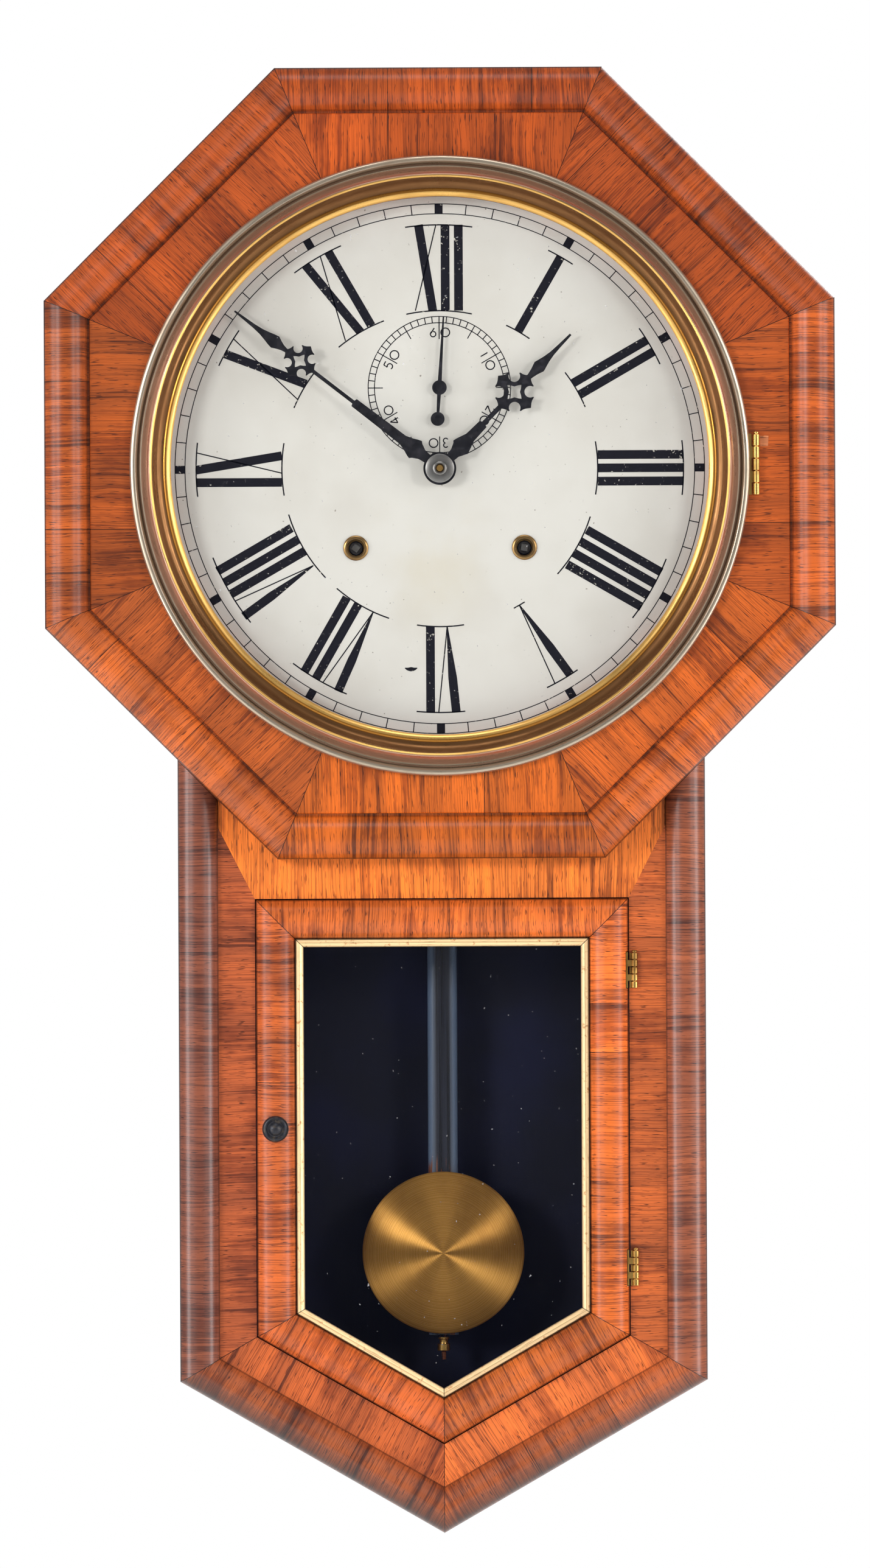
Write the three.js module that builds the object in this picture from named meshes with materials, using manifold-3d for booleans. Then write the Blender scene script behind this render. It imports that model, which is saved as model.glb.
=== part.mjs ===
// Pendulum wall clock: an octagon head with a 12 inch dial over a long drop with a glazed door.
// Millimetres, +Z up, the front faces -Y. The origin is on the wall, behind the middle of the octagon.
import * as THREE from "three";
import { mergeVertices } from "three/addons/utils/BufferGeometryUtils.js";
import Module from "manifold-3d";

const wasm = await Module();
wasm.setup();

// ---------------------------------------------------------------- driving sizes

const HEAD_WIDTH = 440; // across the flats of the octagon
const DROP_HALF = 147; // half the width of the drop, over its mouldings
const DROP_CORNER_Z = -511; // where the drop's sides turn into its pointed bottom
const POINT_SLOPE = Math.tan(Math.PI / 6); // the pointed bottom falls 30 degrees to the middle
const DOOR_TOP_Z = -242.7;
const CASE_TOP_Z = 150;
const BOARD = 9; // thickness of the case boards
const GAP = 0.3; // between pieces that touch

// Depths, as y, from the wall forward.
const BACKBOARD_FRONT = -10;
const FRAME_BACK = -84.3;
const FRAME_FRONT = -94; // the flat face of the drop's front frame
const HEAD_BACK = -94.3;
const HEAD_FRONT = -108; // the flat face of the octagon
const DIAL_BACK = -97.2;
const DIAL_FRONT = -98;
const BEZEL_BACK = -108.3;
const BEZEL_GLASS_BACK = -111;
const BEZEL_FRONT = -122;

// The old case has settled: the bezel and the dial hang a little below the middle of the octagon.
const BEZEL_Z = -1.5;
const DIAL_Z = -2.9;

// Rails and mouldings, measured inwards from an outline.
const DROP_MOULDING = 22.3;
const DROP_FIELD = 42.7; // the moulding and the flat beside it
const DOOR_INSET = 43.25;
const DOOR_MOULDING = 21.7;
const DOOR_LIP = 4; // how far the door laps over its glass
const SLIP_WIDTH = 4.4;
const HEAD_MOULDING = 24;

const BEZEL_RADIUS = 172.5;
const BEZEL_LIP = 149.5;
const DIAL_RADIUS = 157.5;
const ROUND_SIDES = 44; // facets of the bezel, the dial and its glass
const GLASS = 2;

// The movement, measured from the middle of the dial.
const PLATE_BACK_Y = -44;
const PLATE_FRONT_Y = -84;
const PLATE_THICKNESS = 2;
const WINDING = { x: 47, z: -44 };
const SECONDS = { x: 0, z: 47 };
const PIVOT_Z = 73; // where the pendulum's spring bends and the pallets rock
const PENDULUM_Y = -32;
const BOB_RADIUS = 45.5;
const BOB_Z = -442 - DIAL_Z;
const BEAT_TEETH = 42; // an escape wheel for 84 beats a minute

const DOOR_HINGE = { x: 107.2, y: -95.2, zs: [-282.6, -448.5], height: 20 };
const BEZEL_HINGE = { x: 176, y: -110.5, height: 34 };
const KNOB = { x: -93.2, z: -370, radius: 7.35 };
const TOOTH_CLEARANCE = 1.6; // root depth of a tooth, in modules
const TOOTH_TOP = 1.1; // height of a tooth over its pitch circle, in modules

// ---------------------------------------------------------------- materials

function material(color, roughness, metalness = 0) {
  return new THREE.MeshStandardMaterial({ color, roughness, metalness });
}

const rosewood = material(0xa85430, 0.35);
const darkRosewood = material(0x6b3328, 0.35);
const caseWood = material(0x8a6a48, 0.7);
const backboardPaint = material(0x141623, 0.7);
const gilt = material(0xe9cf9f, 0.45, 0.4);
const brass = material(0xb08a4a, 0.35, 0.9);
const agedBrass = material(0x8c6a45, 0.4, 0.8);
const steel = material(0x8f9092, 0.35, 0.9);
const blackIron = material(0x15161c, 0.5, 0.3);
const blackLacquer = material(0x14161d, 0.3);
const dialPaint = material(0xd5d2c7, 0.6);
const glass = new THREE.MeshStandardMaterial({
  color: 0xe8eef0,
  roughness: 0.05,
  transparent: true,
  opacity: 0.2,
});

// ---------------------------------------------------------------- solids

// A closed geometry as a solid that can be joined and cut.
function solid(geometry) {
  const bare = geometry.clone();
  bare.deleteAttribute("normal");
  bare.deleteAttribute("uv");
  const merged = mergeVertices(bare, 1e-4);
  return new wasm.Manifold(
    new wasm.Mesh({
      numProp: 3,
      vertProperties: merged.attributes.position.array,
      triVerts: new Uint32Array(merged.index.array),
    }),
  );
}

// A solid as a named mesh.
function piece(name, shape, look) {
  const { vertProperties, triVerts } = shape.getMesh();
  const geometry = new THREE.BufferGeometry();
  geometry.setAttribute("position", new THREE.BufferAttribute(vertProperties, 3));
  geometry.setIndex(new THREE.BufferAttribute(triVerts, 1));
  geometry.computeVertexNormals();
  const mesh = new THREE.Mesh(geometry, look);
  mesh.name = name;
  return mesh;
}

function join(...solids) {
  return solids.reduce((whole, next) => whole.add(next));
}

function cut(whole, ...tools) {
  return tools.reduce((left, tool) => left.subtract(tool), whole);
}

// An outline drawn in X and Z, made solid between two depths.
function plate(outline, back, front, curveSegments = 12) {
  const shape = outline instanceof THREE.Shape ? outline : polygon(outline);
  const geometry = new THREE.ExtrudeGeometry(shape, {
    depth: back - front,
    bevelEnabled: false,
    curveSegments,
  });
  return solid(geometry.rotateX(Math.PI / 2).translate(0, back, 0));
}

function polygon(points) {
  return new THREE.Shape(points.map(([x, z]) => new THREE.Vector2(x, z)));
}

// A closed or axis-to-axis profile of [radius, y] turned about a line along Y.
function turned(profile, { x = 0, z = 0, sides = 16 } = {}) {
  const points = profile.map(([radius, y]) => new THREE.Vector2(radius, y));
  return solid(new THREE.LatheGeometry(points, sides).translate(x, 0, z));
}

// A round pin along Y between two depths.
function pin(radius, back, front, place = {}) {
  return turned(
    [
      [0, front],
      [radius, front],
      [radius, back],
      [0, back],
    ],
    place,
  );
}

function ring(inner, outer, back, front, place = {}) {
  return turned(
    [
      [inner, front],
      [outer, front],
      [outer, back],
      [inner, back],
      [inner, front],
    ],
    place,
  );
}

function box(x0, x1, back, front, z0, z1) {
  const geometry = new THREE.BoxGeometry(x1 - x0, back - front, z1 - z0);
  return solid(geometry.translate((x0 + x1) / 2, (back + front) / 2, (z0 + z1) / 2));
}

// A round bar along Z.
function upright(radius, x, y, z0, z1, sides = 12) {
  const geometry = new THREE.CylinderGeometry(radius, radius, z1 - z0, sides);
  return solid(geometry.rotateX(Math.PI / 2).translate(x, y, (z0 + z1) / 2));
}

// A wire of round section along a smooth curve through points.
function wire(points, radius, steps, sides = 6) {
  const path = new THREE.CatmullRomCurve3(points.map((point) => new THREE.Vector3(...point)));
  const section = new THREE.Shape();
  section.absarc(0, 0, radius, 0, 2 * Math.PI);
  const options = { steps, extrudePath: path, bevelEnabled: false, curveSegments: sides / 2 };
  return solid(new THREE.ExtrudeGeometry(section, options));
}

// ---------------------------------------------------------------- mitred rails

// The drop's outline, moved in by an inset all round its sides and pointed bottom.
function dropOutline(inset, top) {
  const half = DROP_HALF - inset;
  const rise = inset / Math.cos(Math.PI / 6) - inset * POINT_SLOPE;
  const corner = DROP_CORNER_Z + rise;
  return [
    [-half, top],
    [-half, corner],
    [0, corner - half * POINT_SLOPE],
    [half, corner],
    [half, top],
  ];
}

// An octagon with two flat sides level.
function octagonOutline(apothem) {
  const radius = apothem / Math.cos(Math.PI / 8);
  return Array.from({ length: 8 }, (_, i) => {
    const angle = ((i + 0.5) * Math.PI) / 4;
    return [radius * Math.cos(angle), radius * Math.sin(angle)];
  });
}

// The closed loft of a section, a list of [inset, y], round the sides of an outline.
// outlineAt(inset) gives the corners anticlockwise. With a side, only that mitred rail is made.
function mitred(outlineAt, section, side = null) {
  const loops = section.map(([inset, y]) => outlineAt(inset).map(([x, z]) => [x, y, z]));
  const count = loops[0].length;
  const sides = side === null ? [...Array(count).keys()] : [side];
  const triangles = [];
  for (const start of sides) {
    const ends = loops.map((loop) => mitreEnds(loop[start], loop[(start + 1) % count], side !== null));
    ends.forEach(([a, b], i) => {
      const [c, d] = ends[(i + 1) % ends.length];
      triangles.push(a, b, c, b, d, c);
    });
    if (side !== null) {
      const face = section.map(([inset, y]) => new THREE.Vector2(inset, y));
      for (const [i, j, k] of THREE.ShapeUtils.triangulateShape(face, [])) {
        triangles.push(ends[i][0], ends[j][0], ends[k][0]);
        triangles.push(ends[k][1], ends[j][1], ends[i][1]);
      }
    }
  }
  const geometry = new THREE.BufferGeometry();
  geometry.setAttribute("position", new THREE.Float32BufferAttribute(triangles.flat(), 3));
  return solid(geometry);
}

// The two ends of one line of a rail, drawn in by half a gap where rails meet.
function mitreEnds(a, b, single) {
  if (!single) return [a, b];
  const start = new THREE.Vector3(...a);
  const end = new THREE.Vector3(...b);
  const along = end.clone().sub(start).setLength(GAP);
  return [start.add(along).toArray(), end.sub(along).toArray()];
}

// Points over a half-round moulding that rises from y = level by height.
function halfRound(from, width, level, height, steps = 8) {
  return Array.from({ length: steps + 1 }, (_, i) => {
    const angle = (Math.PI * i) / steps;
    return [from + (width * (1 - Math.cos(angle))) / 2, level - height * Math.sin(angle)];
  });
}

// ---------------------------------------------------------------- case

const caseOutline = (inset) => dropOutline(inset + 2, CASE_TOP_Z - inset);

function backboard() {
  const ear = 38;
  const outline = polygon([...caseOutline(0), [60, CASE_TOP_Z], [30, CASE_TOP_Z + ear]]
    .concat([[-30, CASE_TOP_Z + ear], [-60, CASE_TOP_Z]]));
  const hole = pin(6, 1, BACKBOARD_FRONT - 1, { z: CASE_TOP_Z + ear - 15 });
  return piece("backboard", cut(plate(outline, 0, BACKBOARD_FRONT), hole), backboardPaint);
}

// The box behind the head and the drop: two sides, a pointed bottom and a top.
function caseBoards() {
  const names = ["case_side_left", "case_bottom_left", "case_bottom_right", "case_side_right"];
  const section = [
    [0, BACKBOARD_FRONT - GAP],
    [0, FRAME_BACK + GAP],
    [BOARD, FRAME_BACK + GAP],
    [BOARD, BACKBOARD_FRONT - GAP],
  ];
  const sides = names.map((name, side) =>
    piece(name, mitred(caseOutline, section, side), caseWood),
  );
  return [...sides, caseTop(mitred(caseOutline, section, names.length))];
}

// The top board runs forward between the stiles to the back of the octagon.
function caseTop(board) {
  const reach = DROP_HALF - DROP_FIELD - GAP;
  const tongue = box(-reach, reach, FRAME_BACK + 1, FRAME_FRONT, CASE_TOP_Z - BOARD, CASE_TOP_Z);
  return piece("case_top", join(board, tongue), caseWood);
}

// The front frame of the drop, with its half-round moulding cut off under the octagon.
function dropFrame() {
  const names = ["drop_stile_left", "drop_rail_left", "drop_rail_right", "drop_stile_right"];
  const section = [
    [0, FRAME_BACK],
    [0, FRAME_FRONT],
    ...halfRound(0, DROP_MOULDING, FRAME_FRONT, 9.5).slice(1),
    [DROP_FIELD, FRAME_FRONT],
    [DROP_FIELD, FRAME_BACK],
  ];
  const underHead = plate(octagonOutline(HEAD_WIDTH / 2 + GAP), HEAD_BACK + 0.2, -130);
  const tools = [underHead, plate(panelOutline(GAP), FRAME_BACK + 1, -130), ...hingeSlots()];
  return names.map((name, side) => {
    const bar = mitred((inset) => dropOutline(inset, CASE_TOP_Z), section, side);
    return piece(name, cut(bar, ...tools), darkRosewood);
  });
}

// The panel between the octagon and the door, mitred into the stiles.
function panelOutline(grow) {
  const doorHalf = DROP_HALF - DROP_FIELD + grow;
  const fieldHalf = DROP_HALF - DROP_MOULDING - GAP + grow;
  const bottom = DOOR_TOP_Z + 0.6 - grow;
  const mitreTop = DOOR_TOP_Z + 40;
  const top = DOOR_TOP_Z + 78 + grow;
  return [
    [-doorHalf, bottom],
    [doorHalf, bottom],
    [fieldHalf, mitreTop],
    [fieldHalf, top],
    [-fieldHalf, top],
    [-fieldHalf, mitreTop],
  ];
}

function dropPanel() {
  return piece("drop_panel", plate(panelOutline(0), FRAME_BACK, FRAME_FRONT), rosewood);
}

function headFrame() {
  const half = HEAD_WIDTH / 2;
  const groove = 1.4;
  const section = [
    [half - 120, HEAD_BACK],
    [0, HEAD_BACK],
    [0, HEAD_FRONT],
    ...halfRound(0, HEAD_MOULDING, HEAD_FRONT, 10).slice(1),
    [HEAD_MOULDING, HEAD_FRONT + groove],
    [HEAD_MOULDING + groove, HEAD_FRONT + groove],
    [HEAD_MOULDING + groove, HEAD_FRONT],
    [half - 120, HEAD_FRONT],
  ];
  const body = mitred((inset) => octagonOutline(half - inset), section);
  const opening = pin(DIAL_RADIUS - 6, HEAD_BACK + 1, HEAD_FRONT - 1, { z: DIAL_Z, sides: ROUND_SIDES });
  const rebate = pin(DIAL_RADIUS + GAP, HEAD_BACK + 1, DIAL_FRONT - GAP, { z: DIAL_Z, sides: ROUND_SIDES });
  const { x, height } = BEZEL_HINGE;
  const reach = height / 2 + GAP;
  const slot = box(x - 2.2, x + 2.2, -104, -130, BEZEL_Z - reach, BEZEL_Z + reach);
  return piece("head_frame", cut(body, opening, rebate, slot), rosewood);
}

// ---------------------------------------------------------------- door

const doorOutline = (inset) => dropOutline(DOOR_INSET + inset, DOOR_TOP_Z - inset);

// The mortises in the door and the right stile that hold the hinge leaves and clear the barrel.
function hingeSlots() {
  const { x, zs, height } = DOOR_HINGE;
  const reach = height / 2 + GAP;
  return zs.flatMap((z) => [
    box(102.3, 105.8, -83, FRAME_FRONT - 4, z - reach, z + reach),
    box(104, x + 3.5, -91.4, FRAME_FRONT - 3, z - reach, z + reach),
  ]);
}

function doorFrame() {
  const back = FRAME_FRONT + GLASS + 0.2;
  const section = [
    [0, FRAME_BACK],
    [0, FRAME_FRONT],
    ...halfRound(0, DOOR_MOULDING, FRAME_FRONT, 9).slice(1),
    [DOOR_MOULDING, back],
    [DOOR_MOULDING - DOOR_LIP, back],
    [DOOR_MOULDING - DOOR_LIP, FRAME_BACK],
  ];
  const spindleHole = pin(2.7, FRAME_BACK + 1, -110, KNOB);
  const frame = cut(mitred(doorOutline, section), spindleHole, ...hingeSlots());
  return piece("door_frame", frame, rosewood);
}

function giltSlip() {
  const back = FRAME_FRONT + GLASS + 0.2;
  const start = DOOR_MOULDING + GAP;
  const section = [
    [start, back],
    [start, back - 3.4],
    [start + 1.2, back - 3.8],
    [start + SLIP_WIDTH, back - 1],
    [start + SLIP_WIDTH, back],
  ];
  return piece("gilt_slip", mitred(doorOutline, section), gilt);
}

function doorGlass() {
  const outline = doorOutline(DOOR_MOULDING - DOOR_LIP + GAP);
  const front = FRAME_FRONT + GLASS + 0.5;
  return piece("door_glass", plate(outline, front + GLASS, front), glass);
}

// The turned knob, its spindle and the turn-button that passes behind the stile.
function doorKnob() {
  const r = KNOB.radius;
  const seat = FRAME_FRONT - 9.3;
  const profile = [
    [0, seat],
    [2.2, seat],
    [2.2, seat - 0.4],
    [r * 0.8, seat - 0.4],
    [r, seat - 1.4],
    [r, seat - 3.6],
    [r * 0.9, seat - 5],
    [r * 0.8, seat - 5.3],
    [r * 0.62, seat - 4.2],
    [r * 0.46, seat - 4.6],
    [r * 0.34, seat - 5.9],
    [0, seat - 6.4],
  ];
  const head = turned(profile.reverse(), { ...KNOB, sides: 24 });
  const spindle = pin(2.2, -81, seat - 1, KNOB);
  const button = box(KNOB.x - 5, KNOB.x + 5, -81.5, -84, KNOB.z - 3, KNOB.z + 22);
  return piece("door_knob", join(head, spindle, button), blackLacquer);
}

// ---------------------------------------------------------------- hinges

// The heights of every second knuckle of a five-knuckle barrel.
function knuckles(z, height, first) {
  const pitch = height / 5;
  const starts = first === 0 ? [0, 2, 4] : [1, 3];
  return starts.map((i) => [z - height / 2 + i * pitch, z - height / 2 + (i + 1) * pitch - 0.25]);
}

// The leaf that carries the pin: three knuckles on a plate.
function fixedLeaf(name, { x, y, height }, z, plateBox, web) {
  const barrels = knuckles(z, height, 0).flatMap(([z0, z1]) => [
    upright(1.95, x, y, z0, z1),
    box(...web, z0, z1),
  ]);
  const pinBar = upright(0.9, x, y, z - height / 2, z + height / 2 + 1.2, 8);
  const leaf = box(...plateBox, z - height / 2, z + height / 2);
  return piece(name, join(leaf, pinBar, ...barrels), brass);
}

// The leaf that swings: two knuckles on a plate, bored for the pin.
function swingingLeaf(name, { x, y, height }, z, plateBox, web) {
  const barrels = knuckles(z, height, 1).flatMap(([z0, z1]) => [
    upright(1.95, x, y, z0, z1),
    box(...web, z0, z1),
  ]);
  const bore = upright(1.25, x, y, z - height, z + height, 8);
  const leaf = box(...plateBox, z - height / 2, z + height / 2);
  return piece(name, cut(join(leaf, ...barrels), bore), brass);
}

function doorHinges() {
  const names = ["lower", "upper"];
  return [...DOOR_HINGE.zs].reverse().flatMap((z, i) => [
    fixedLeaf(
      `case_hinge_leaf_${names[i]}`,
      DOOR_HINGE,
      z,
      [104.5, 105.4, -84.6, -93.2],
      [104.5, DOOR_HINGE.x, -92.2, DOOR_HINGE.y],
    ),
    swingingLeaf(
      `door_hinge_leaf_${names[i]}`,
      DOOR_HINGE,
      z,
      [102.6, 103.5, -84.6, -96.4],
      [102.6, DOOR_HINGE.x, -95.3, -96.4],
    ),
  ]);
}

function bezelHinge() {
  const { x, y } = BEZEL_HINGE;
  return [
    fixedLeaf("case_bezel_leaf", BEZEL_HINGE, BEZEL_Z, [x - 1.2, x + 1.2, -104.4, -107.8], [
      x - 1.2,
      x + 1.2,
      -107,
      y,
    ]),
    swingingLeaf("bezel_hinge_leaf", BEZEL_HINGE, BEZEL_Z, [x - 12, x - 2.6, -108.6, -109.4], [
      x - 4,
      x,
      -108.8,
      -109.8,
    ]),
  ];
}

// ---------------------------------------------------------------- bezel and dial

function bezel() {
  const r = BEZEL_RADIUS;
  const outerRing = halfRound(0, 5.6, BEZEL_BACK - 2.4, 2.8, 4).map(([inset, y]) => [r - inset, y]);
  const front = [
    ...outerRing,
    [r - 9, BEZEL_BACK - 7.5],
    [r - 11.4, BEZEL_FRONT],
    [r - 13.4, BEZEL_FRONT + 1.6],
    [r - 19, BEZEL_FRONT + 6.4],
    [r - 20.6, BEZEL_FRONT + 6],
    [BEZEL_LIP, BEZEL_FRONT + 7.6],
    [BEZEL_LIP, BEZEL_GLASS_BACK - GLASS - GAP],
  ];
  const back = [
    [DIAL_RADIUS - 2.7, BEZEL_GLASS_BACK - GLASS - GAP],
    [DIAL_RADIUS - 2.7, BEZEL_BACK],
    [r, BEZEL_BACK],
    [r, outerRing[0][1]],
  ];
  const body = turned([...front, ...back].reverse(), { z: BEZEL_Z, sides: ROUND_SIDES });
  const reach = BEZEL_HINGE.height / 2 + GAP;
  const leafSlot = box(163, 180, -107, -109.9, BEZEL_Z - reach, BEZEL_Z + reach);
  return piece("bezel", cut(body, leafSlot), agedBrass);
}

function bezelGlass() {
  const place = { z: BEZEL_Z, sides: ROUND_SIDES };
  const disc = pin(DIAL_RADIUS - 3, BEZEL_GLASS_BACK, BEZEL_GLASS_BACK - GLASS, place);
  return piece("bezel_glass", disc, glass);
}

function dial() {
  const holes = [
    pin(6.2, -90, -105, {}),
    pin(2.4, -90, -105, SECONDS),
    pin(5.5, -90, -105, WINDING),
    pin(5.5, -90, -105, { x: -WINDING.x, z: WINDING.z }),
  ];
  const disc = pin(DIAL_RADIUS, DIAL_BACK, DIAL_FRONT, { sides: ROUND_SIDES });
  return piece("dial", cut(disc, ...holes), dialPaint);
}

function grommets() {
  return [-1, 1].map((side) => {
    const place = { x: side * WINDING.x, z: WINDING.z, sides: 20 };
    const flange = ring(4.7, 7, DIAL_FRONT - GAP, DIAL_FRONT - 1.2, place);
    const sleeve = ring(4.7, 5.2, DIAL_BACK + 0.6, DIAL_FRONT - 0.6, place);
    return piece(`winding_grommet_${side < 0 ? "left" : "right"}`, join(flange, sleeve), brass);
  });
}

// ---------------------------------------------------------------- hands

// One side of a hand, as [distance out, half width], mirrored into a closed outline along +Z.
function handOutline(profile) {
  const right = profile.map(([out, half]) => [half, out]);
  const left = profile.map(([out, half]) => [-half, out]).reverse();
  return [...right, ...left];
}

// The pierced cross on a hand: four flared lobes between four round notches.
function handCross(out, span, back, front) {
  const size = span / 22;
  const edge = [];
  for (let quarter = 0; quarter < 4; quarter += 1) {
    const turn = (quarter * Math.PI) / 2;
    const lobe = [
      [9.5, -4.4],
      [8.2, 0],
      [9.5, 4.4],
    ];
    const notch = [170, 205, 245, 280].map((degrees) => {
      const angle = (degrees * Math.PI) / 180;
      return [6.6 + 3.3 * Math.sin(angle), 6.6 + 3.3 * Math.cos(angle)];
    });
    for (const [x, z] of [...lobe, ...notch]) {
      edge.push([
        size * (x * Math.cos(turn) - z * Math.sin(turn)),
        size * (x * Math.sin(turn) + z * Math.cos(turn)) + out,
      ]);
    }
  }
  const eye = [0, 1, 2, 3].map((i) => {
    const angle = (i * Math.PI) / 2;
    return [size * 3.6 * Math.cos(angle), out + size * 3.6 * Math.sin(angle)];
  });
  return { lobes: plate(edge, back, front), eye: plate(eye, back + 1, front - 1) };
}

function hand(name, profile, cross, hub, back) {
  const front = back - 0.9;
  const { lobes, eye } = handCross(cross.out, cross.span, back, front);
  const hubDisc = pin(hub.radius, back, front, { sides: 24 });
  const bore = pin(hub.bore, back + 1, front - 1);
  const flat = cut(join(plate(handOutline(profile), back, front), lobes, hubDisc), eye, bore);
  return piece(name, flat, blackIron);
}

function hourHand() {
  const profile = [
    [0, 3],
    [9, 2.6],
    [13, 3],
    [17, 5],
    [21, 4],
    [26, 2.5],
    [34.5, 2.4],
    [35, 1.1],
    [72, 1],
    [78, 2.2],
    [80, 3.6],
    [84, 1.5],
    [104, 0.3],
  ];
  const mesh = hand("hour_hand", profile, { out: 59.5, span: 22 }, { radius: 9.1, bore: 4.9 }, -103);
  mesh.rotation.y = THREE.MathUtils.degToRad(44.6);
  return mesh;
}

function minuteHand() {
  const profile = [
    [0, 3],
    [9, 2.6],
    [13, 3.2],
    [17.5, 5.6],
    [22, 4],
    [29, 2.5],
    [60, 2.4],
    [60.5, 0.9],
    [109, 0.9],
    [114, 2],
    [117.5, 4.1],
    [122, 1.6],
    [144, 0.3],
  ];
  const hub = { radius: 7, bore: 2.9 };
  const mesh = hand("minute_hand", profile, { out: 98.2, span: 17.5 }, hub, -105.4);
  mesh.rotation.y = THREE.MathUtils.degToRad(307.7);
  return mesh;
}

function secondsHand() {
  const back = -100.5;
  const front = back - 0.8;
  const needle = plate(handOutline([[-17.5, 0.7], [0, 1.1], [39.4, 0.35]]), back, front);
  const discs = join(
    pin(4, back, front, { sides: 20 }),
    pin(3.8, back, front, { z: -17.5, sides: 20 }),
    pin(1.7, back + 0.1, front - 0.7, {}),
  );
  const mesh = piece("seconds_hand", cut(join(needle, discs), pin(1.1, back + 1, front + 0.4)), blackIron);
  mesh.position.set(SECONDS.x, 0, SECONDS.z);
  mesh.rotation.y = THREE.MathUtils.degToRad(3.5);
  return mesh;
}

function handFixings() {
  const washer = ring(2.2, 8, -106.6, -107.4, { sides: 24 });
  const nut = turned(
    [
      [2.2, -107.7],
      [4, -107.7],
      [4, -109.2],
      [3.3, -109.9],
      [2.6, -109.9],
      [2.2, -109.3],
      [2.2, -107.7],
    ].reverse(),
    { sides: 20 },
  );
  return [piece("hand_washer", washer, steel), piece("hand_nut", nut, steel)];
}

// ---------------------------------------------------------------- wheels

const pitchRadius = (teeth, module) => (teeth * module) / 2;

// A toothed outline of pointed teeth that share their roots.
function toothed(teeth, module, phase) {
  const tip = pitchRadius(teeth, module) + TOOTH_TOP * module;
  const root = pitchRadius(teeth, module) - TOOTH_CLEARANCE * module;
  const pitch = (2 * Math.PI) / teeth;
  const corners = [
    [tip, 0],
    [root, 0.5],
  ];
  const points = [];
  for (let i = 0; i < teeth; i += 1) {
    for (const [radius, offset] of corners) {
      const angle = phase + (i + offset) * pitch;
      points.push(new THREE.Vector2(radius * Math.cos(angle), radius * Math.sin(angle)));
    }
  }
  return new THREE.Shape(points);
}

// Opens a wheel between its hub and rim, leaving spokes.
function crossed(shape, hub, rim, spokes = 4) {
  for (let i = 0; i < spokes; i += 1) {
    const start = (2 * Math.PI * i) / spokes + 0.16;
    const end = (2 * Math.PI * (i + 1)) / spokes - 0.16;
    const opening = new THREE.Path();
    opening.absarc(0, 0, rim, start, end, false);
    opening.absarc(0, 0, hub, end - 0.12, start + 0.12, true);
    opening.closePath();
    shape.holes.push(opening);
  }
  return shape;
}

// A brass wheel with crossings, and a solid pinion.
function wheel(teeth, module, phase, back, front) {
  const rim = pitchRadius(teeth, module) - TOOTH_CLEARANCE * module - 2.4;
  return plate(crossed(toothed(teeth, module, phase), 5.5, rim), back, front, 1);
}

function pinion(teeth, module, phase, back, front) {
  return plate(toothed(teeth, module, phase), back, front);
}

// The phase that puts a gear in mesh with a driver whose tooth stands at driverPhase.
function meshed(driver, place, driverTeeth, teeth, driverPhase = 0) {
  const towards = Math.atan2(place.z - driver.z, place.x - driver.x);
  const pitch = (2 * Math.PI) / teeth;
  const part = ((towards - driverPhase) * driverTeeth) / (2 * Math.PI);
  return towards + Math.PI - pitch / 2 + (part - Math.floor(part)) * pitch;
}

// Where an arbor stands at given distances from two others, on the chosen side.
function arborBetween(a, da, b, db, side) {
  const dx = b.x - a.x;
  const dz = b.z - a.z;
  const apart = Math.hypot(dx, dz);
  const along = (da * da - db * db + apart * apart) / (2 * apart);
  const off = side * Math.sqrt(da * da - along * along);
  return {
    x: a.x + (dx * along - dz * off) / apart,
    z: a.z + (dz * along + dx * off) / apart,
  };
}

const meshDistance = (wheelTeeth, pinionTeeth, module) =>
  pitchRadius(wheelTeeth + pinionTeeth, module);

// Wheel trains, as tooth counts and modules.
const GREAT = { teeth: 60, leaves: 10, module: 1.08 };
const SECOND = { teeth: 48, leaves: 8, module: 1.03 };
const CENTRE_WHEEL = { teeth: 64, leaves: 8, module: 0.75 };
const THIRD = { teeth: 60, leaves: 8, module: 0.7 };
const MOTION = { cannon: 12, minute: 36, leaves: 10, hour: 40, module: 0.8 };
const HOUR_MODULE = (MOTION.module * (MOTION.cannon + MOTION.minute)) / (MOTION.leaves + MOTION.hour);
const PIN_WHEEL = { teeth: 48, leaves: 8, module: 0.8 };

const CENTRE = { x: 0, z: 0 };
const secondArbor = arborBetween(
  CENTRE,
  meshDistance(SECOND.teeth, SECOND.leaves, SECOND.module),
  WINDING,
  meshDistance(GREAT.teeth, GREAT.leaves, GREAT.module),
  1,
);
const thirdArbor = arborBetween(
  CENTRE,
  meshDistance(CENTRE_WHEEL.teeth, CENTRE_WHEEL.leaves, CENTRE_WHEEL.module),
  SECONDS,
  meshDistance(THIRD.teeth, THIRD.leaves, THIRD.module),
  -1,
);
const minuteWheelDistance = meshDistance(MOTION.cannon, MOTION.minute, MOTION.module);
const minuteWheelArbor = { x: -minuteWheelDistance * 0.8, z: minuteWheelDistance * 0.6 };
const strikeWinding = { x: -WINDING.x, z: WINDING.z };
const strikeSecondArbor = { x: -secondArbor.x, z: secondArbor.z };
const pinWheelDistance = meshDistance(SECOND.teeth, SECOND.leaves, SECOND.module);
const pinWheelArbor = {
  x: strikeSecondArbor.x - pinWheelDistance * 0.5,
  z: strikeSecondArbor.z + pinWheelDistance * Math.sqrt(0.75),
};
const flyDistance = meshDistance(PIN_WHEEL.teeth, PIN_WHEEL.leaves, PIN_WHEEL.module);
const flyArbor = {
  x: pinWheelArbor.x + flyDistance * 0.4,
  z: pinWheelArbor.z + flyDistance * Math.sqrt(0.84),
};
const hammerArbor = { x: -54, z: 30 };

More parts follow.
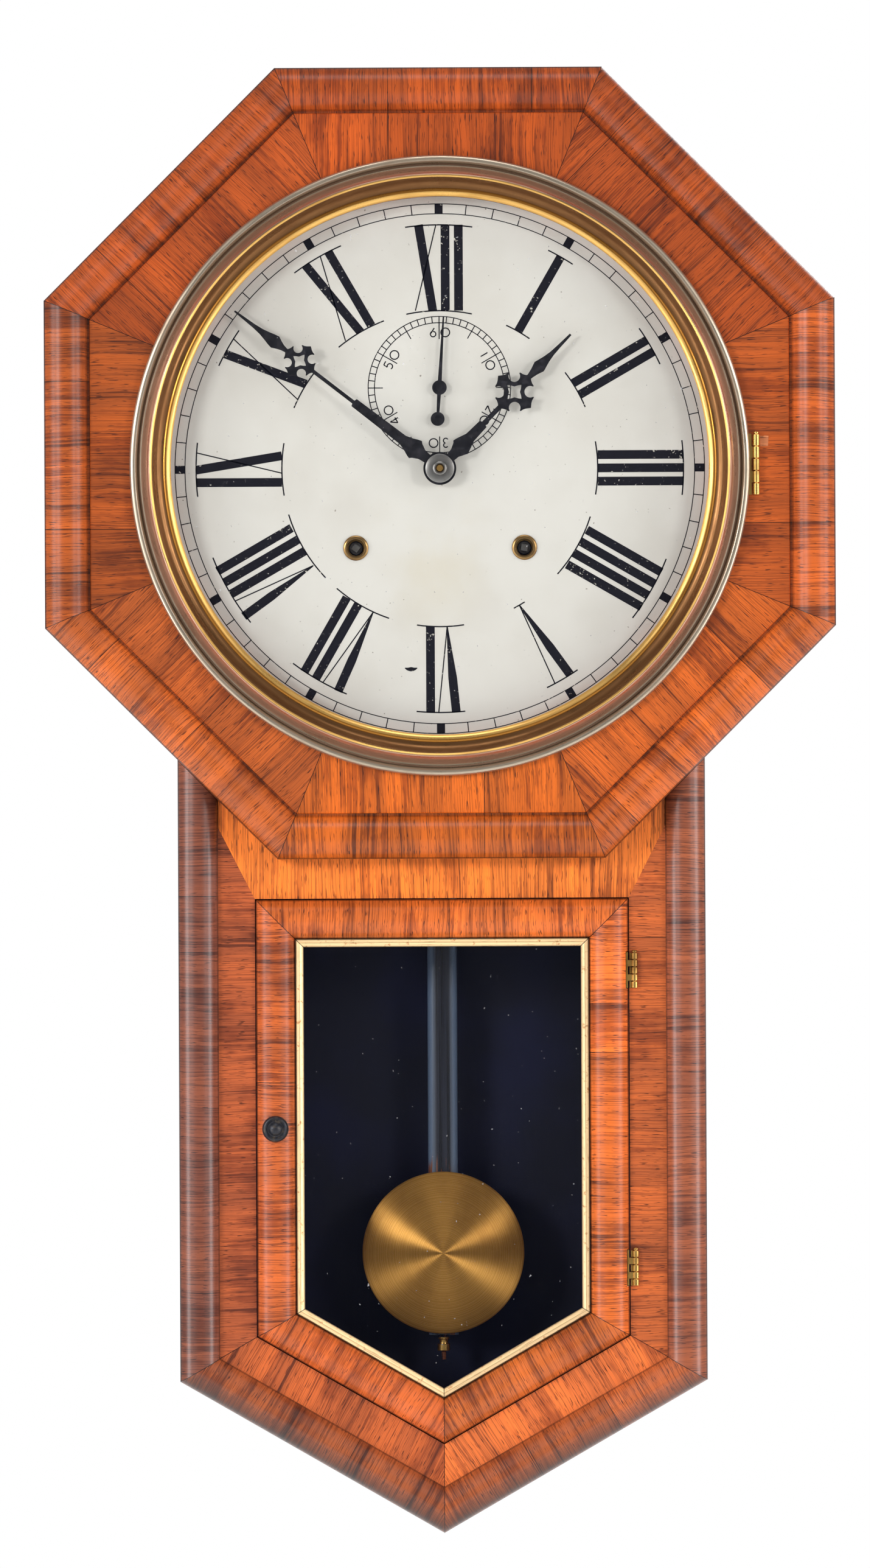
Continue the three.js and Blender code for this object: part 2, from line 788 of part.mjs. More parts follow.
// Between the plates, clear of both.
const ARBOR_BACK = PLATE_BACK_Y - PLATE_THICKNESS - GAP;
const ARBOR_FRONT = PLATE_FRONT_Y + GAP;

function placed(mesh, place) {
  mesh.position.set(place.x, 0, place.z);
  return mesh;
}

// A great wheel, bored to turn on its winding arbor.
function greatWheel(name, place, phase) {
  const blank = wheel(GREAT.teeth, GREAT.module, phase, -49, -52);
  const bore = pin(3.9, -40, -60);
  return placed(piece(name, cut(blank, bore), brass), place);
}

// A winding arbor with its ratchet, and a square at the front for the key.
function windingArbor(name, place, squareTurn) {
  const arbor = pin(3.5, ARBOR_BACK, -86.4, { sides: 12 });
  const square = solid(new THREE.BoxGeometry(3.7, 9, 3.7).rotateY(squareTurn).translate(0, -89, 0));
  const ratchet = plate(sawOutline(16, 9.6, 8), -52.6, -54.6);
  return placed(piece(name, join(arbor, square, ratchet), steel), place);
}

// Saw teeth, each a radial face and a long back.
function sawOutline(teeth, tip, root) {
  const pitch = (2 * Math.PI) / teeth;
  const points = [];
  for (let i = 0; i < teeth; i += 1) {
    points.push([tip * Math.cos(i * pitch), tip * Math.sin(i * pitch)]);
    points.push([root * Math.cos((i + 0.15) * pitch), root * Math.sin((i + 0.15) * pitch)]);
  }
  return points;
}

// A mainspring, open round its arbor, with its outer end reaching out to a pillar.
function mainspring(name, place) {
  const turns = 3.5;
  const steps = 46;
  const strip = 0.9;
  const spiral = (radiusShift) =>
    Array.from({ length: steps + 1 }, (_, i) => {
      const angle = (2 * Math.PI * turns * i) / steps;
      const radius = 5 + (18 * i) / steps + radiusShift;
      return [radius * Math.cos(angle), radius * Math.sin(angle)];
    });
  const outline = [...spiral(strip), ...spiral(0).reverse()];
  return placed(piece(name, plate(outline, -57, -76), steel), place);
}

// A wheel and its pinion on one arbor.
function arborWithWheel(name, place, parts, radius = 1.5, back = ARBOR_BACK, front = ARBOR_FRONT) {
  return placed(piece(name, join(pin(radius, back, front, { sides: 10 }), ...parts), brass), place);
}

// Rest phases, worked out from the centre arbor outwards, so that every pair is in mesh.
const secondPhase = meshed(CENTRE, secondArbor, SECOND.leaves, SECOND.teeth);
const greatPhase = meshed(secondArbor, WINDING, GREAT.leaves, GREAT.teeth);
const thirdLeafPhase = meshed(CENTRE, thirdArbor, CENTRE_WHEEL.teeth, CENTRE_WHEEL.leaves);
const escapeLeafPhase = meshed(thirdArbor, SECONDS, THIRD.teeth, THIRD.leaves);
const minuteWheelPhase = meshed(CENTRE, minuteWheelArbor, MOTION.cannon, MOTION.minute);
const hourWheelPhase = meshed(minuteWheelArbor, CENTRE, MOTION.leaves, MOTION.hour);
const pinLeafPhase = meshed(strikeSecondArbor, pinWheelArbor, SECOND.teeth, SECOND.leaves);
const strikeGreatPhase = meshed(strikeSecondArbor, strikeWinding, GREAT.leaves, GREAT.teeth);
const flyLeafPhase = meshed(pinWheelArbor, flyArbor, PIN_WHEEL.teeth, PIN_WHEEL.leaves);

function goingTrain() {
  const centreArbor = [
    pinion(SECOND.leaves, SECOND.module, 0, -77.6, -80.4),
    wheel(CENTRE_WHEEL.teeth, CENTRE_WHEEL.module, 0, -70, -72),
  ];
  return [
    windingArbor("time_winding_arbor", WINDING, THREE.MathUtils.degToRad(10)),
    greatWheel("time_great_wheel", WINDING, greatPhase),
    mainspring("time_mainspring", WINDING),
    arborWithWheel("second_wheel", secondArbor, [
      pinion(GREAT.leaves, GREAT.module, 0, -48.6, -52.4),
      wheel(SECOND.teeth, SECOND.module, secondPhase, -78, -80),
    ]),
    arborWithWheel("centre_wheel", CENTRE, centreArbor, 1.8, ARBOR_BACK, -109.6),
    arborWithWheel("third_wheel", thirdArbor, [
      pinion(CENTRE_WHEEL.leaves, CENTRE_WHEEL.module, thirdLeafPhase, -69.6, -72.4),
      wheel(THIRD.teeth, THIRD.module, 0, -62, -64),
    ]),
    escapeWheel(),
  ];
}

function escapeWheel() {
  const rim = crossed(polygon(sawOutline(BEAT_TEETH, 17, 14.6)), 4.5, 12.4);
  const parts = [
    plate(rim, -56, -58, 1),
    pinion(THIRD.leaves, THIRD.module, escapeLeafPhase, -61.6, -64.4),
  ];
  return arborWithWheel("escape_wheel", SECONDS, parts, 0.9, ARBOR_BACK, -100.8);
}

// The motion work under the dial, which turns the hour hand once for twelve turns of the minute hand.
function motionWork() {
  const cannon = cut(
    join(
      pinion(MOTION.cannon, MOTION.module, 0, -87, -89.6),
      pin(2.7, -87, -106.3, { sides: 16 }),
    ),
    pin(2.05, -80, -110, { sides: 16 }),
  );
  const hourWheel = cut(
    join(
      wheel(MOTION.hour, HOUR_MODULE, hourWheelPhase, -91, -93),
      pin(4.6, -91, -104, { sides: 16 }),
    ),
    pin(3.1, -80, -110, { sides: 16 }),
  );
  const minuteParts = [
    wheel(MOTION.minute, MOTION.module, minuteWheelPhase, -87.3, -89.3),
    pinion(MOTION.leaves, HOUR_MODULE, 0, -90.4, -93.4),
  ];
  return [
    piece("cannon_pinion", cannon, steel),
    piece("hour_wheel", hourWheel, brass),
    arborWithWheel("minute_wheel", minuteWheelArbor, minuteParts, 1.4, -86.6, -94),
  ];
}

// The strike train, which turns the pin wheel that lifts the hammer, and the fly that slows it.
function strikeTrain() {
  const pins = [0, 1, 2, 3].map((i) => {
    const angle = (i * Math.PI) / 2 + 0.5;
    const place = { x: 13 * Math.cos(angle), z: 13 * Math.sin(angle), sides: 8 };
    return pin(0.8, -58, -62.5, place);
  });
  const blades = box(-13, 13, -68, -77, -0.5, 0.5);
  return [
    windingArbor("strike_winding_arbor", strikeWinding, THREE.MathUtils.degToRad(35)),
    greatWheel("strike_great_wheel", strikeWinding, strikeGreatPhase),
    mainspring("strike_mainspring", strikeWinding),
    arborWithWheel("strike_second_wheel", strikeSecondArbor, [
      pinion(GREAT.leaves, GREAT.module, 0, -48.6, -52.4),
      wheel(SECOND.teeth, SECOND.module, 0, -81, -83),
    ]),
    arborWithWheel("strike_pin_wheel", pinWheelArbor, [
      pinion(SECOND.leaves, SECOND.module, pinLeafPhase, -80.7, -83.3),
      plate(toothed(PIN_WHEEL.teeth, PIN_WHEEL.module, 0), -62, -64),
      ...pins,
    ]),
    arborWithWheel("strike_fly", flyArbor, [
      pinion(PIN_WHEEL.leaves, PIN_WHEEL.module, flyLeafPhase, -61.6, -64.4),
      blades,
    ]),
  ];
}

// ---------------------------------------------------------------- plates, pendulum and gong

function movementOutline() {
  return [
    [-76, -90],
    [76, -90],
    [76, 62],
    [56, 84],
    [-56, 84],
    [-76, 62],
  ];
}

const pillarPlaces = [
  { x: -70, z: -84 },
  { x: 70, z: -84 },
  { x: -52, z: 77 },
  { x: 52, z: 77 },
];

function movementPlates() {
  const back = plate(movementOutline(), PLATE_BACK_Y, PLATE_BACK_Y - PLATE_THICKNESS);
  const pillars = pillarPlaces.map((place) =>
    pin(3.5, PLATE_BACK_Y - 1, PLATE_FRONT_Y + GAP, { ...place, sides: 10 }),
  );
  const arborHoles = [
    pin(3, -40, -50, { z: PIVOT_Z, sides: 12 }),
    pin(3, -40, -50, { ...hammerArbor, sides: 12 }),
  ];
  const front = plate(movementOutline(), PLATE_FRONT_Y, PLATE_FRONT_Y - PLATE_THICKNESS);
  const frontHoles = [
    pin(4.2, -80, -90, { ...WINDING, sides: 12 }),
    pin(4.2, -80, -90, { ...strikeWinding, sides: 12 }),
    pin(2.4, -80, -90, { sides: 12 }),
    pin(1.6, -80, -90, { ...SECONDS, sides: 12 }),
  ];
  return [
    piece("movement_back_plate", cut(join(back, ...pillars), ...arborHoles), brass),
    piece("movement_front_plate", cut(front, ...frontHoles), brass),
  ];
}

// The wooden cleats that carry the movement off the backboard.
function movementSeat() {
  const back = BACKBOARD_FRONT - GAP;
  const front = PLATE_BACK_Y + GAP;
  const cleats = [-1, 1].map((side) => {
    const [inner, outer] = side < 0 ? [-84, -71] : [71, 84];
    return box(inner, outer, back, front, -92, 108);
  });
  return piece("movement_seat", join(...cleats, box(-80, 80, back, front, 94, 108)), caseWood);
}

// The anchor that rocks over the escape wheel, its arbor, and the crutch behind the back plate.
function verge() {
  const anchor = [
    [-14, -10.2],
    [-11.9, -11.9],
    [-8.6, -5.6],
    [0, -2.6],
    [8.6, -5.6],
    [11.9, -11.9],
    [14, -10.2],
    [9.4, -2.6],
    [0, 3],
    [-9.4, -2.6],
  ];
  const arms = plate(anchor, -55.6, -58.4);
  const arbor = pin(1.4, -38.4, ARBOR_FRONT, { sides: 10 });
  const crutch = join(box(-1.2, 1.2, -38.4, -40.2, -62, 0), box(-1, 1, -37, -40, -62, -58));
  return placed(piece("verge", join(arms, arbor, crutch), steel), { x: 0, z: PIVOT_Z });
}

function suspensionCock() {
  const post = box(-9, 9, PENDULUM_Y - 2.4, PLATE_BACK_Y + GAP, PIVOT_Z + 6, PIVOT_Z + 14);
  const jaws = cut(
    box(-9, 9, PENDULUM_Y + 4, PENDULUM_Y - 2.6, PIVOT_Z + 6, PIVOT_Z + 14),
    box(-2, 2, PENDULUM_Y + 5, PENDULUM_Y - 3, PIVOT_Z + 5, PIVOT_Z + 11.9),
  );
  return piece("suspension_cock", join(post, jaws), brass);
}

// The pendulum: a spring strip, a lacquered rod, a brass bob and the nut that regulates it.
const ROD_HALF = 8.4;
const ROD_DEPTH = 6;

function pendulum() {
  const rodTop = PIVOT_Z - 22;
  const rodEnd = BOB_Z - BOB_RADIUS - 1;
  const strip = join(
    box(-0.25, 0.25, PENDULUM_Y + 2, PENDULUM_Y - 2, rodTop + GAP, PIVOT_Z + 8),
    box(-1, 1, PENDULUM_Y + 3, PENDULUM_Y - 2, PIVOT_Z + 8, PIVOT_Z + 11.2),
  );
  const section = new THREE.Shape();
  section.moveTo(-ROD_HALF, 1);
  section.absellipse(0, 1, ROD_HALF, ROD_DEPTH, Math.PI, 2 * Math.PI, false);
  const bar = new THREE.ExtrudeGeometry(section, {
    depth: rodTop - rodEnd,
    bevelEnabled: false,
    curveSegments: 10,
  });
  const rod = solid(bar.translate(0, PENDULUM_Y + 1.4, rodEnd));
  const crutchSlot = box(-1.9, 1.9, -30, -41, PIVOT_Z - 66, PIVOT_Z - 55);
  const thread = upright(1.4, 0, PENDULUM_Y, rodEnd - 14, rodEnd + 1, 10);
  return [
    piece("suspension_spring", strip, steel),
    piece("pendulum_rod", join(cut(rod, crutchSlot), thread), blackLacquer),
    bob(),
    ratingNut(rodEnd),
  ];
}

// A lens of spun brass that covers the rod, with a channel behind for it.
function bob() {
  const crown = 8;
  const back = PENDULUM_Y + 6;
  const lens = [[0, PENDULUM_Y - ROD_DEPTH - 3 - crown]];
  const steps = 6;
  for (let i = 1; i <= steps; i += 1) {
    const radius = (BOB_RADIUS * i) / steps;
    lens.push([radius, lens[0][1] + crown * (radius / BOB_RADIUS) ** 2]);
  }
  lens.push([BOB_RADIUS, PENDULUM_Y - ROD_DEPTH + 0.5], [BOB_RADIUS - 6, back], [0, back]);
  const body = turned(lens, { z: BOB_Z, sides: 36 });
  const half = ROD_HALF + GAP;
  const channel = box(-half, half, back + 1, PENDULUM_Y - ROD_DEPTH, BOB_Z - 60, BOB_Z + 60);
  return piece("pendulum_bob", cut(body, channel), brass);
}

function ratingNut(rodEnd) {
  const block = join(
    upright(3.6, 0, PENDULUM_Y, rodEnd - 9, rodEnd - 5, 16),
    upright(2.5, 0, PENDULUM_Y, rodEnd - 5, rodEnd - 2.6, 16),
    upright(3.2, 0, PENDULUM_Y, rodEnd - 2.6, rodEnd - 1.2, 16),
  );
  const bore = upright(1.75, 0, PENDULUM_Y, rodEnd - 20, rodEnd, 10);
  return piece("rating_nut", cut(block, bore), brass);
}

const GONG = { x: -30, z: -197, y: -17, radius: 42, wire: 1.2 };

function gong() {
  const turns = 2.75;
  const steps = 40;
  const points = Array.from({ length: steps + 1 }, (_, i) => {
    const angle = (-2 * Math.PI * turns * i) / steps;
    const radius = 12 + ((GONG.radius - GONG.wire - 12) * i) / steps;
    return [radius * Math.cos(angle) + GONG.x, GONG.y, radius * Math.sin(angle) + GONG.z];
  });
  const base = box(GONG.x - 9, GONG.x + 9.4, BACKBOARD_FRONT - GAP, -20, GONG.z - 7, GONG.z + 7);
  return [piece("gong", wire(points, GONG.wire, 54), steel), piece("gong_base", base, blackIron)];
}

// The hammer: an arbor between the plates, a tail over the pin wheel, and a wire down to the gong.
function hammer() {
  const head = solid(
    new THREE.CylinderGeometry(4.5, 4.5, 12, 12).rotateZ(Math.PI / 2).translate(-77.5, GONG.y, -183),
  );
  const stem = wire(
    [
      [hammerArbor.x, -37.5, hammerArbor.z],
      [hammerArbor.x, -37.5, -60],
      [hammerArbor.x - 4, -34, -110],
      [-77, GONG.y - 1, -175],
      [-77.5, GONG.y, -183],
    ],
    1.2,
    12,
  );
  const arbor = pin(1.6, -36.2, ARBOR_FRONT, { ...hammerArbor, sides: 10 });
  const tail = box(hammerArbor.x - 2, hammerArbor.x + 2, -58, -61, hammerArbor.z - 9, hammerArbor.z);
  return piece("hammer", join(head, stem, arbor, tail), steel);
}

// ---------------------------------------------------------------- the clock

function at(z, ...meshes) {
  const group = new THREE.Group();
  group.position.z = z;
  group.add(...meshes);
  return group;
}

const clock = new THREE.Group();
clock.add(
  backboard(),
  ...caseBoards(),
  ...dropFrame(),
  dropPanel(),
  headFrame(),
  doorFrame(),
  giltSlip(),
  doorGlass(),
  doorKnob(),
  ...doorHinges(),
  ...bezelHinge(),
  bezel(),
  bezelGlass(),
);
clock.add(
  at(
    DIAL_Z,
    dial(),
    ...grommets(),
    hourHand(),
    minuteHand(),
    secondsHand(),
    ...handFixings(),
    ...movementPlates(),
    movementSeat(),
    ...goingTrain(),
    ...motionWork(),
    ...strikeTrain(),
    verge(),
    suspensionCock(),
    ...pendulum(),
    ...gong(),
    hammer(),
  ),
);

export default clock;
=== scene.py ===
"""An octagon drop wall clock: the finished looks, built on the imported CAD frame.

Sizes are in millimetres in the row frame, with x to the right, y to the back and z up, and they
become metres when a mesh is made. The clock's front faces -y, so a smaller y is further forward.
"""

import math
import random

import bmesh
import bpy
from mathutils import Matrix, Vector


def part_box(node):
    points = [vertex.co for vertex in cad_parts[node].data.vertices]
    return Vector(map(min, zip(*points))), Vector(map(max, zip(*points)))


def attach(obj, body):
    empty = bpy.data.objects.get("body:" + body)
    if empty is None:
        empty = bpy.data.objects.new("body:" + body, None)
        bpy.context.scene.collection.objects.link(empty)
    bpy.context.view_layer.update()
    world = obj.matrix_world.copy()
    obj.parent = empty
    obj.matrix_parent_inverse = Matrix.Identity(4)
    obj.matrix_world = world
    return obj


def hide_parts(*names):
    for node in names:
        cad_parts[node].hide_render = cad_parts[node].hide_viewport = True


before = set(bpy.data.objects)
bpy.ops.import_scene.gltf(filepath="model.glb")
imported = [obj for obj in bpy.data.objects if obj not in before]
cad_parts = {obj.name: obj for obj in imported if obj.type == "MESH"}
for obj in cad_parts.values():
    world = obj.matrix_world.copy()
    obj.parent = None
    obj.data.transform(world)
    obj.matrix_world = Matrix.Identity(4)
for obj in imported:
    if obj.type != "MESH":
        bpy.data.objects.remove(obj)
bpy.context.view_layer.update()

MM = 0.001

# Case
HEAD_HALF = 220  # apothem of the octagon
HEAD_MOULDING = 24
HEAD_GROOVE = 1.4
GROOVE_DEPTH = 0.8
DROP_HALF = 147
DROP_CORNER_Z = -511
DROP_MOULDING = 22.3
DROP_FIELD = 42.7
CASE_TOP_Z = 150
DOOR_INSET = 43.25
DOOR_MOULDING = 21.7
DOOR_LIP = 4
SLIP_WIDTH = 4.4
POINT_ANGLE = math.radians(30)  # fall of the pointed bottom
SEAM = 0.22  # half the width of a dark joint line in the veneer
HEAD_RISE = 10  # how far each half-round stands out from its field
DROP_RISE = 9.5
DOOR_RISE = 9
PANEL_CORNER = (124.4, -202.7)  # x and z where the panel's slanting side turns upright
PANEL_FOOT_Z = -242.1  # foot of the panel's slanting side
UNDER_HEAD = 0.2  # how far the drop's frame stays behind the octagon

# Hinges: the pin's x and y, and the barrel's height
DOOR_PIN = (107.2, -95.2)
DOOR_HINGE_HEIGHT = 20
DOOR_POCKET = 10.3  # half the height of the cut for a door hinge
BEZEL_PIN = (176, -110.5)
BEZEL_HINGE_HEIGHT = 34
KNUCKLES = 5
KNUCKLE_RADIUS = 1.95
PIN_RADIUS = 0.88
KNOB_HOLE = 2.5  # half the width of the door's opening for the knob's shaft

# Wood
GRAIN_WANDER = 0.02  # how far, in metres, the grain of plain wood strays from straight
PAINTED_FACE_Y = -0.0096  # in metres: the backboard is painted in front of this

# Dial printing, from the middle of the dial
TRACK_OUTER = 147.5
TRACK_INNER = 142
NUMERAL_OUTER = 135.8
NUMERAL_INNER = 88
THICK = 4.9
THIN = 0.65
SECONDS_OUTER = 39.7
SECONDS_INNER = 36.2
V_REACH = 4.9  # from the middle of a V to the outer end of either stroke
X_THICK_REACH = 3.9
X_THIN_REACH = 5.8
FINE_LINE = 0.5
TICK = 0.55
DIGIT_LINE = 0.66
DIGIT_HEIGHT = 4.9
DIGIT_OUT = 30.8
CHIP_CENTRE = (-16.5, -108.2)
CHIP_RADIUS = 4.6
CHIP_DEPTH = 2.4
CHIP_REACH = 52  # degrees to each side of straight down
CHIP_SLICES = 6

# Hands: (out, half width) points along each blade, and clock angles in degrees
HOUR_ANGLE = 44.6
HOUR_ROOT = [
    (7, 2.7), (9, 2.6), (12, 2.9), (15.4, 4.4), (16.4, 5.4), (18.5, 4.9), (21, 4),
    (24, 2.9), (34.5, 2.5), (35, 1.25), (52, 1.25),
]
HOUR_TIP = [
    (67, 1.5), (69.5, 1.3), (72, 1.5), (75.5, 2.3), (79.2, 3.6), (82, 2.8), (85, 2),
    (89.5, 1.25), (95, 0.9), (104.2, 0.55),
]
MINUTE_ANGLE = 307.7
MINUTE_ROOT = [
    (5, 2.7), (9, 2.6), (12.5, 3), (16, 4.8), (17.1, 5.9), (19.3, 5.2), (22, 4),
    (26, 2.8), (60, 2.4), (60.5, 0.95), (92.2, 0.95),
]
MINUTE_TIP = [
    (104, 1.3), (107.6, 1.05), (110.5, 1.6), (113, 2.6), (115.4, 3.8), (118, 3.3),
    (121, 2.5), (125, 1.6), (130, 1.05), (143.8, 0.4),
]
SECONDS_ANGLE = 3.5
SECONDS_NEEDLE = [(-16, 0.7), (0, 1.1), (39.4, 0.35)]

# Stage: places and sizes in metres, the lens in millimetres, and each light's power in watts
CAMERA_PLACE = (-0.0035, -6.126, -0.1785)
CAMERA_LENS = 248.5
CAMERA_ROLL = math.radians(0.27)
LIGHT_AIM = (0, -0.1, -0.18)
LIGHTS = [  # name, place, size and power
    ("Left", (-2.0, -0.9, -0.1), (0.7, 2.2), 24),
    ("Right", (2.0, -0.9, -0.1), (0.7, 2.2), 24),
    ("Front left", (-2.6, -3.0, 0.7), (0.9, 0.9), 62),
    ("Front right", (2.6, -3.0, 0.7), (0.9, 0.9), 40),
    ("Top", (0, -1.0, 2.2), (1.6, 0.8), 14),
    ("Back", (1.6, 3.0, 1.4), (2.4, 1.6), 60),
]
SURROUND_LIGHT = 0.25  # the white surround is dimmer as a light than it looks
FLOOR_Z = -1.25
FLOOR_GLOW = 0.3


def extent(node):
    """A CAD node's lowest and highest corners, in millimetres."""
    low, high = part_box(node)
    return low / MM, high / MM


def middle(node):
    """The middle of a CAD node's box, in millimetres."""
    low, high = extent(node)
    return (low + high) / 2


DOOR_TOP_Z = extent("door_frame")[1].z
FRAME_BACK = extent("door_frame")[1].y
FRAME_FRONT = extent("drop_panel")[0].y
HEAD_BACK = extent("head_frame")[1].y
HEAD_FRONT = extent("head_frame")[0].y + HEAD_RISE
DIAL_FRONT = extent("dial")[0].y
DIAL_Z = middle("dial").z
DIAL_RADIUS = extent("dial")[1].x
BEZEL_Z = middle("bezel").z
BEZEL_RADIUS = extent("bezel")[1].x
BEZEL_BACK = extent("bezel")[1].y
BOB_RADIUS = extent("pendulum_bob")[1].x
BOB_Z = middle("pendulum_bob").z
KNOB_X = middle("door_knob").x
KNOB_RADIUS = 7.35
KNOB_Z = extent("door_knob")[0].z + KNOB_RADIUS


# ---------------------------------------------------------------- materials


def srgb(red, green, blue):
    """A colour from 0-255 screen values, as the linear values that Blender mixes."""

    def linear(value):
        value /= 255
        return value / 12.92 if value < 0.04045 else ((value + 0.055) / 1.055) ** 2.4

    return (linear(red), linear(green), linear(blue), 1.0)


class Shader:
    """A new principled material, with short calls for the nodes that feed it."""

    def __init__(self, name, **settings):
        self.material = bpy.data.materials.new(name)
        self.material.use_nodes = True
        self.tree = self.material.node_tree
        self.surface = self.tree.nodes["Principled BSDF"]
        for socket, value in settings.items():
            self.feed(socket.replace("_", " "), value)

    def put(self, socket, value):
        if isinstance(value, bpy.types.NodeSocket):
            self.tree.links.new(value, socket)
        else:
            socket.default_value = value

    def feed(self, socket, value):
        self.put(self.surface.inputs[socket], value)

    def node(self, kind, inputs, **options):
        made = self.tree.nodes.new("ShaderNode" + kind)
        for option, value in options.items():
            setattr(made, option, value)
        for socket, value in inputs.items():
            self.put(made.inputs[socket], value)
        return made

    def maths(self, operation, *values):
        return self.node("Math", dict(enumerate(values)), operation=operation).outputs[0]

    def noise(self, vector, scale, detail=2.0, roughness=0.5):
        settings = {"Vector": vector, "Scale": scale, "Detail": detail, "Roughness": roughness}
        return self.node("TexNoise", settings).outputs[0]

    def stretch(self, vector, x, y, z):
        """The vector with each axis multiplied by its own number."""
        return self.node("VectorMath", {0: vector, 1: (x, y, z)}, operation="MULTIPLY").outputs[0]

    def range(self, value, low, high, start=0.0, end=1.0):
        """Value taken smoothly from low..high to start..end, and held beyond them."""
        settings = {"Value": value, "From Min": low, "From Max": high, "To Min": start, "To Max": end}
        return self.node("MapRange", settings, interpolation_type="SMOOTHSTEP").outputs[0]

    def mix(self, share, first, second, blend="MIX"):
        made = self.node("Mix", {0: share, 6: first, 7: second}, data_type="RGBA", blend_type=blend)
        return made.outputs[2]

    def tint(self):
        return self.node("Attribute", {}, attribute_name="tint").outputs["Color"]

    def grain(self):
        return self.node("UVMap", {}, uv_map="grain").outputs[0]

    def place(self):
        return self.node("TexCoord", {}).outputs["Object"]

    def bump(self, height, distance, strength=1.0):
        settings = {"Height": height, "Distance": distance, "Strength": strength}
        self.feed("Normal", self.node("Bump", settings).outputs[0])


def veneer(name, dark_share, gloss):
    """Varnished rosewood. On the grain map u crosses the grain and v runs along it, in metres."""
    wood = Shader(name, Coat_Weight=gloss, Coat_Roughness=0.27, Specular_IOR_Level=0.22)
    grain = wood.grain()
    split = wood.node("SeparateXYZ", {0: grain})
    drift = wood.noise(wood.stretch(grain, 9, 7, 1), 1, 3, 0.5)
    bent = wood.maths("MULTIPLY_ADD", wood.maths("SUBTRACT", drift, 0.5), 0.012, split.outputs[0])
    along = wood.node("CombineXYZ", {0: bent, 1: split.outputs[1]}).outputs[0]
    bands = wood.noise(wood.stretch(along, 42, 3, 1), 1, 3, 0.6)
    streaks = wood.noise(wood.stretch(along, 320, 5, 1), 1, 4, 0.7)
    fine = wood.noise(wood.stretch(along, 1500, 14, 1), 1, 2, 0.6)
    pores = wood.noise(wood.stretch(along, 1900, 110, 1), 1, 1, 0.5)
    clouds = wood.noise(wood.stretch(grain, 26, 12, 1), 1, 4, 0.65)
    broken = wood.maths("MULTIPLY_ADD", bands, 0.45, wood.maths("MULTIPLY", streaks, 0.55))
    patchy = wood.maths("MULTIPLY_ADD", clouds, 0.55, wood.maths("MULTIPLY", streaks, 0.45))
    tint = wood.tint()
    warm = wood.mix(wood.range(bands, 0.4, 0.62), tint, (1.4, 1.34, 1.1, 1), "MULTIPLY")
    dull = wood.mix(wood.range(patchy, 0.5, 0.42, 0, 0.75), warm, (0.42, 0.34, 0.36, 1), "MULTIPLY")
    brown = wood.mix(1, tint, (0.17, 0.15, 0.22, 1), "MULTIPLY")
    shade = wood.range(broken, 0.46, 0.38, 0, dark_share)
    banded = wood.mix(shade, dull, brown)
    lined = wood.mix(wood.range(fine, 0.54, 0.34, 0, 0.6), banded, brown)
    pored = wood.mix(wood.range(pores, 0.37, 0.31, 0, 0.85), lined, srgb(46, 18, 14))
    wood.feed("Base Color", pored)
    relief = wood.maths("ADD", wood.maths("MULTIPLY", fine, 0.6), wood.maths("MULTIPLY", pores, 0.4))
    wood.bump(relief, 0.00018, 0.6)
    wood.feed("Roughness", wood.range(streaks, 0.3, 0.7, 0.5, 0.38))
    return wood.material


def plain_wood(name, colour, axis_scale):
    """Unvarnished softwood with its grain along one axis of the object."""
    wood = Shader(name, Roughness=0.72)
    place = wood.place()
    wander = wood.maths("MULTIPLY", wood.noise(place, 7, 2), GRAIN_WANDER)
    shifted = wood.node("VectorMath", {0: place, 1: wander}, operation="ADD").outputs[0]
    rings = wood.noise(wood.stretch(shifted, *axis_scale), 1, 4, 0.6)
    fibres = wood.noise(wood.stretch(place, *[9 * value for value in axis_scale]), 1, 2)
    light = wood.mix(wood.range(rings, 0.35, 0.65), srgb(*colour), (0.62, 0.5, 0.4, 1), "MULTIPLY")
    stained = wood.mix(wood.range(wood.noise(place, 5, 4), 0.4, 0.7, 0, 0.5), light, srgb(84, 52, 30))
    dark = wood.mix(wood.range(fibres, 0.5, 0.3, 0, 0.4), stained, srgb(70, 44, 26))
    wood.feed("Base Color", dark)
    wood.bump(fibres, 0.0003, 0.4)
    return wood.material


def painted_board():
    """The backboard: dusty blue-black paint in front, bare aged wood on its back and its edges."""
    board = Shader("painted_board", Roughness=0.62, Specular_IOR_Level=0.3)
    place = board.place()
    paint = board.mix(board.range(board.noise(place, 14, 4), 0.4, 0.7), srgb(5, 8, 28), srgb(10, 15, 48))
    dust = board.range(board.noise(place, 900, 2), 0.72, 0.78, 0, 0.35)
    scrapes = board.range(board.noise(board.stretch(place, 260, 1, 30), 1, 4, 0.7), 0.66, 0.76, 0, 0.3)
    dusty = board.mix(board.maths("MAXIMUM", dust, scrapes), paint, srgb(130, 130, 140))
    grain = board.noise(board.stretch(place, 160, 1, 7), 1, 4, 0.6)
    wood = board.mix(board.range(grain, 0.35, 0.65), srgb(122, 90, 58), srgb(84, 58, 36))
    depth = board.node("SeparateXYZ", {0: place}).outputs[1]
    front = board.maths("LESS_THAN", depth, PAINTED_FACE_Y)
    board.feed("Base Color", board.mix(front, wood, dusty))
    board.bump(grain, 0.0002, 0.4)
    return board.material


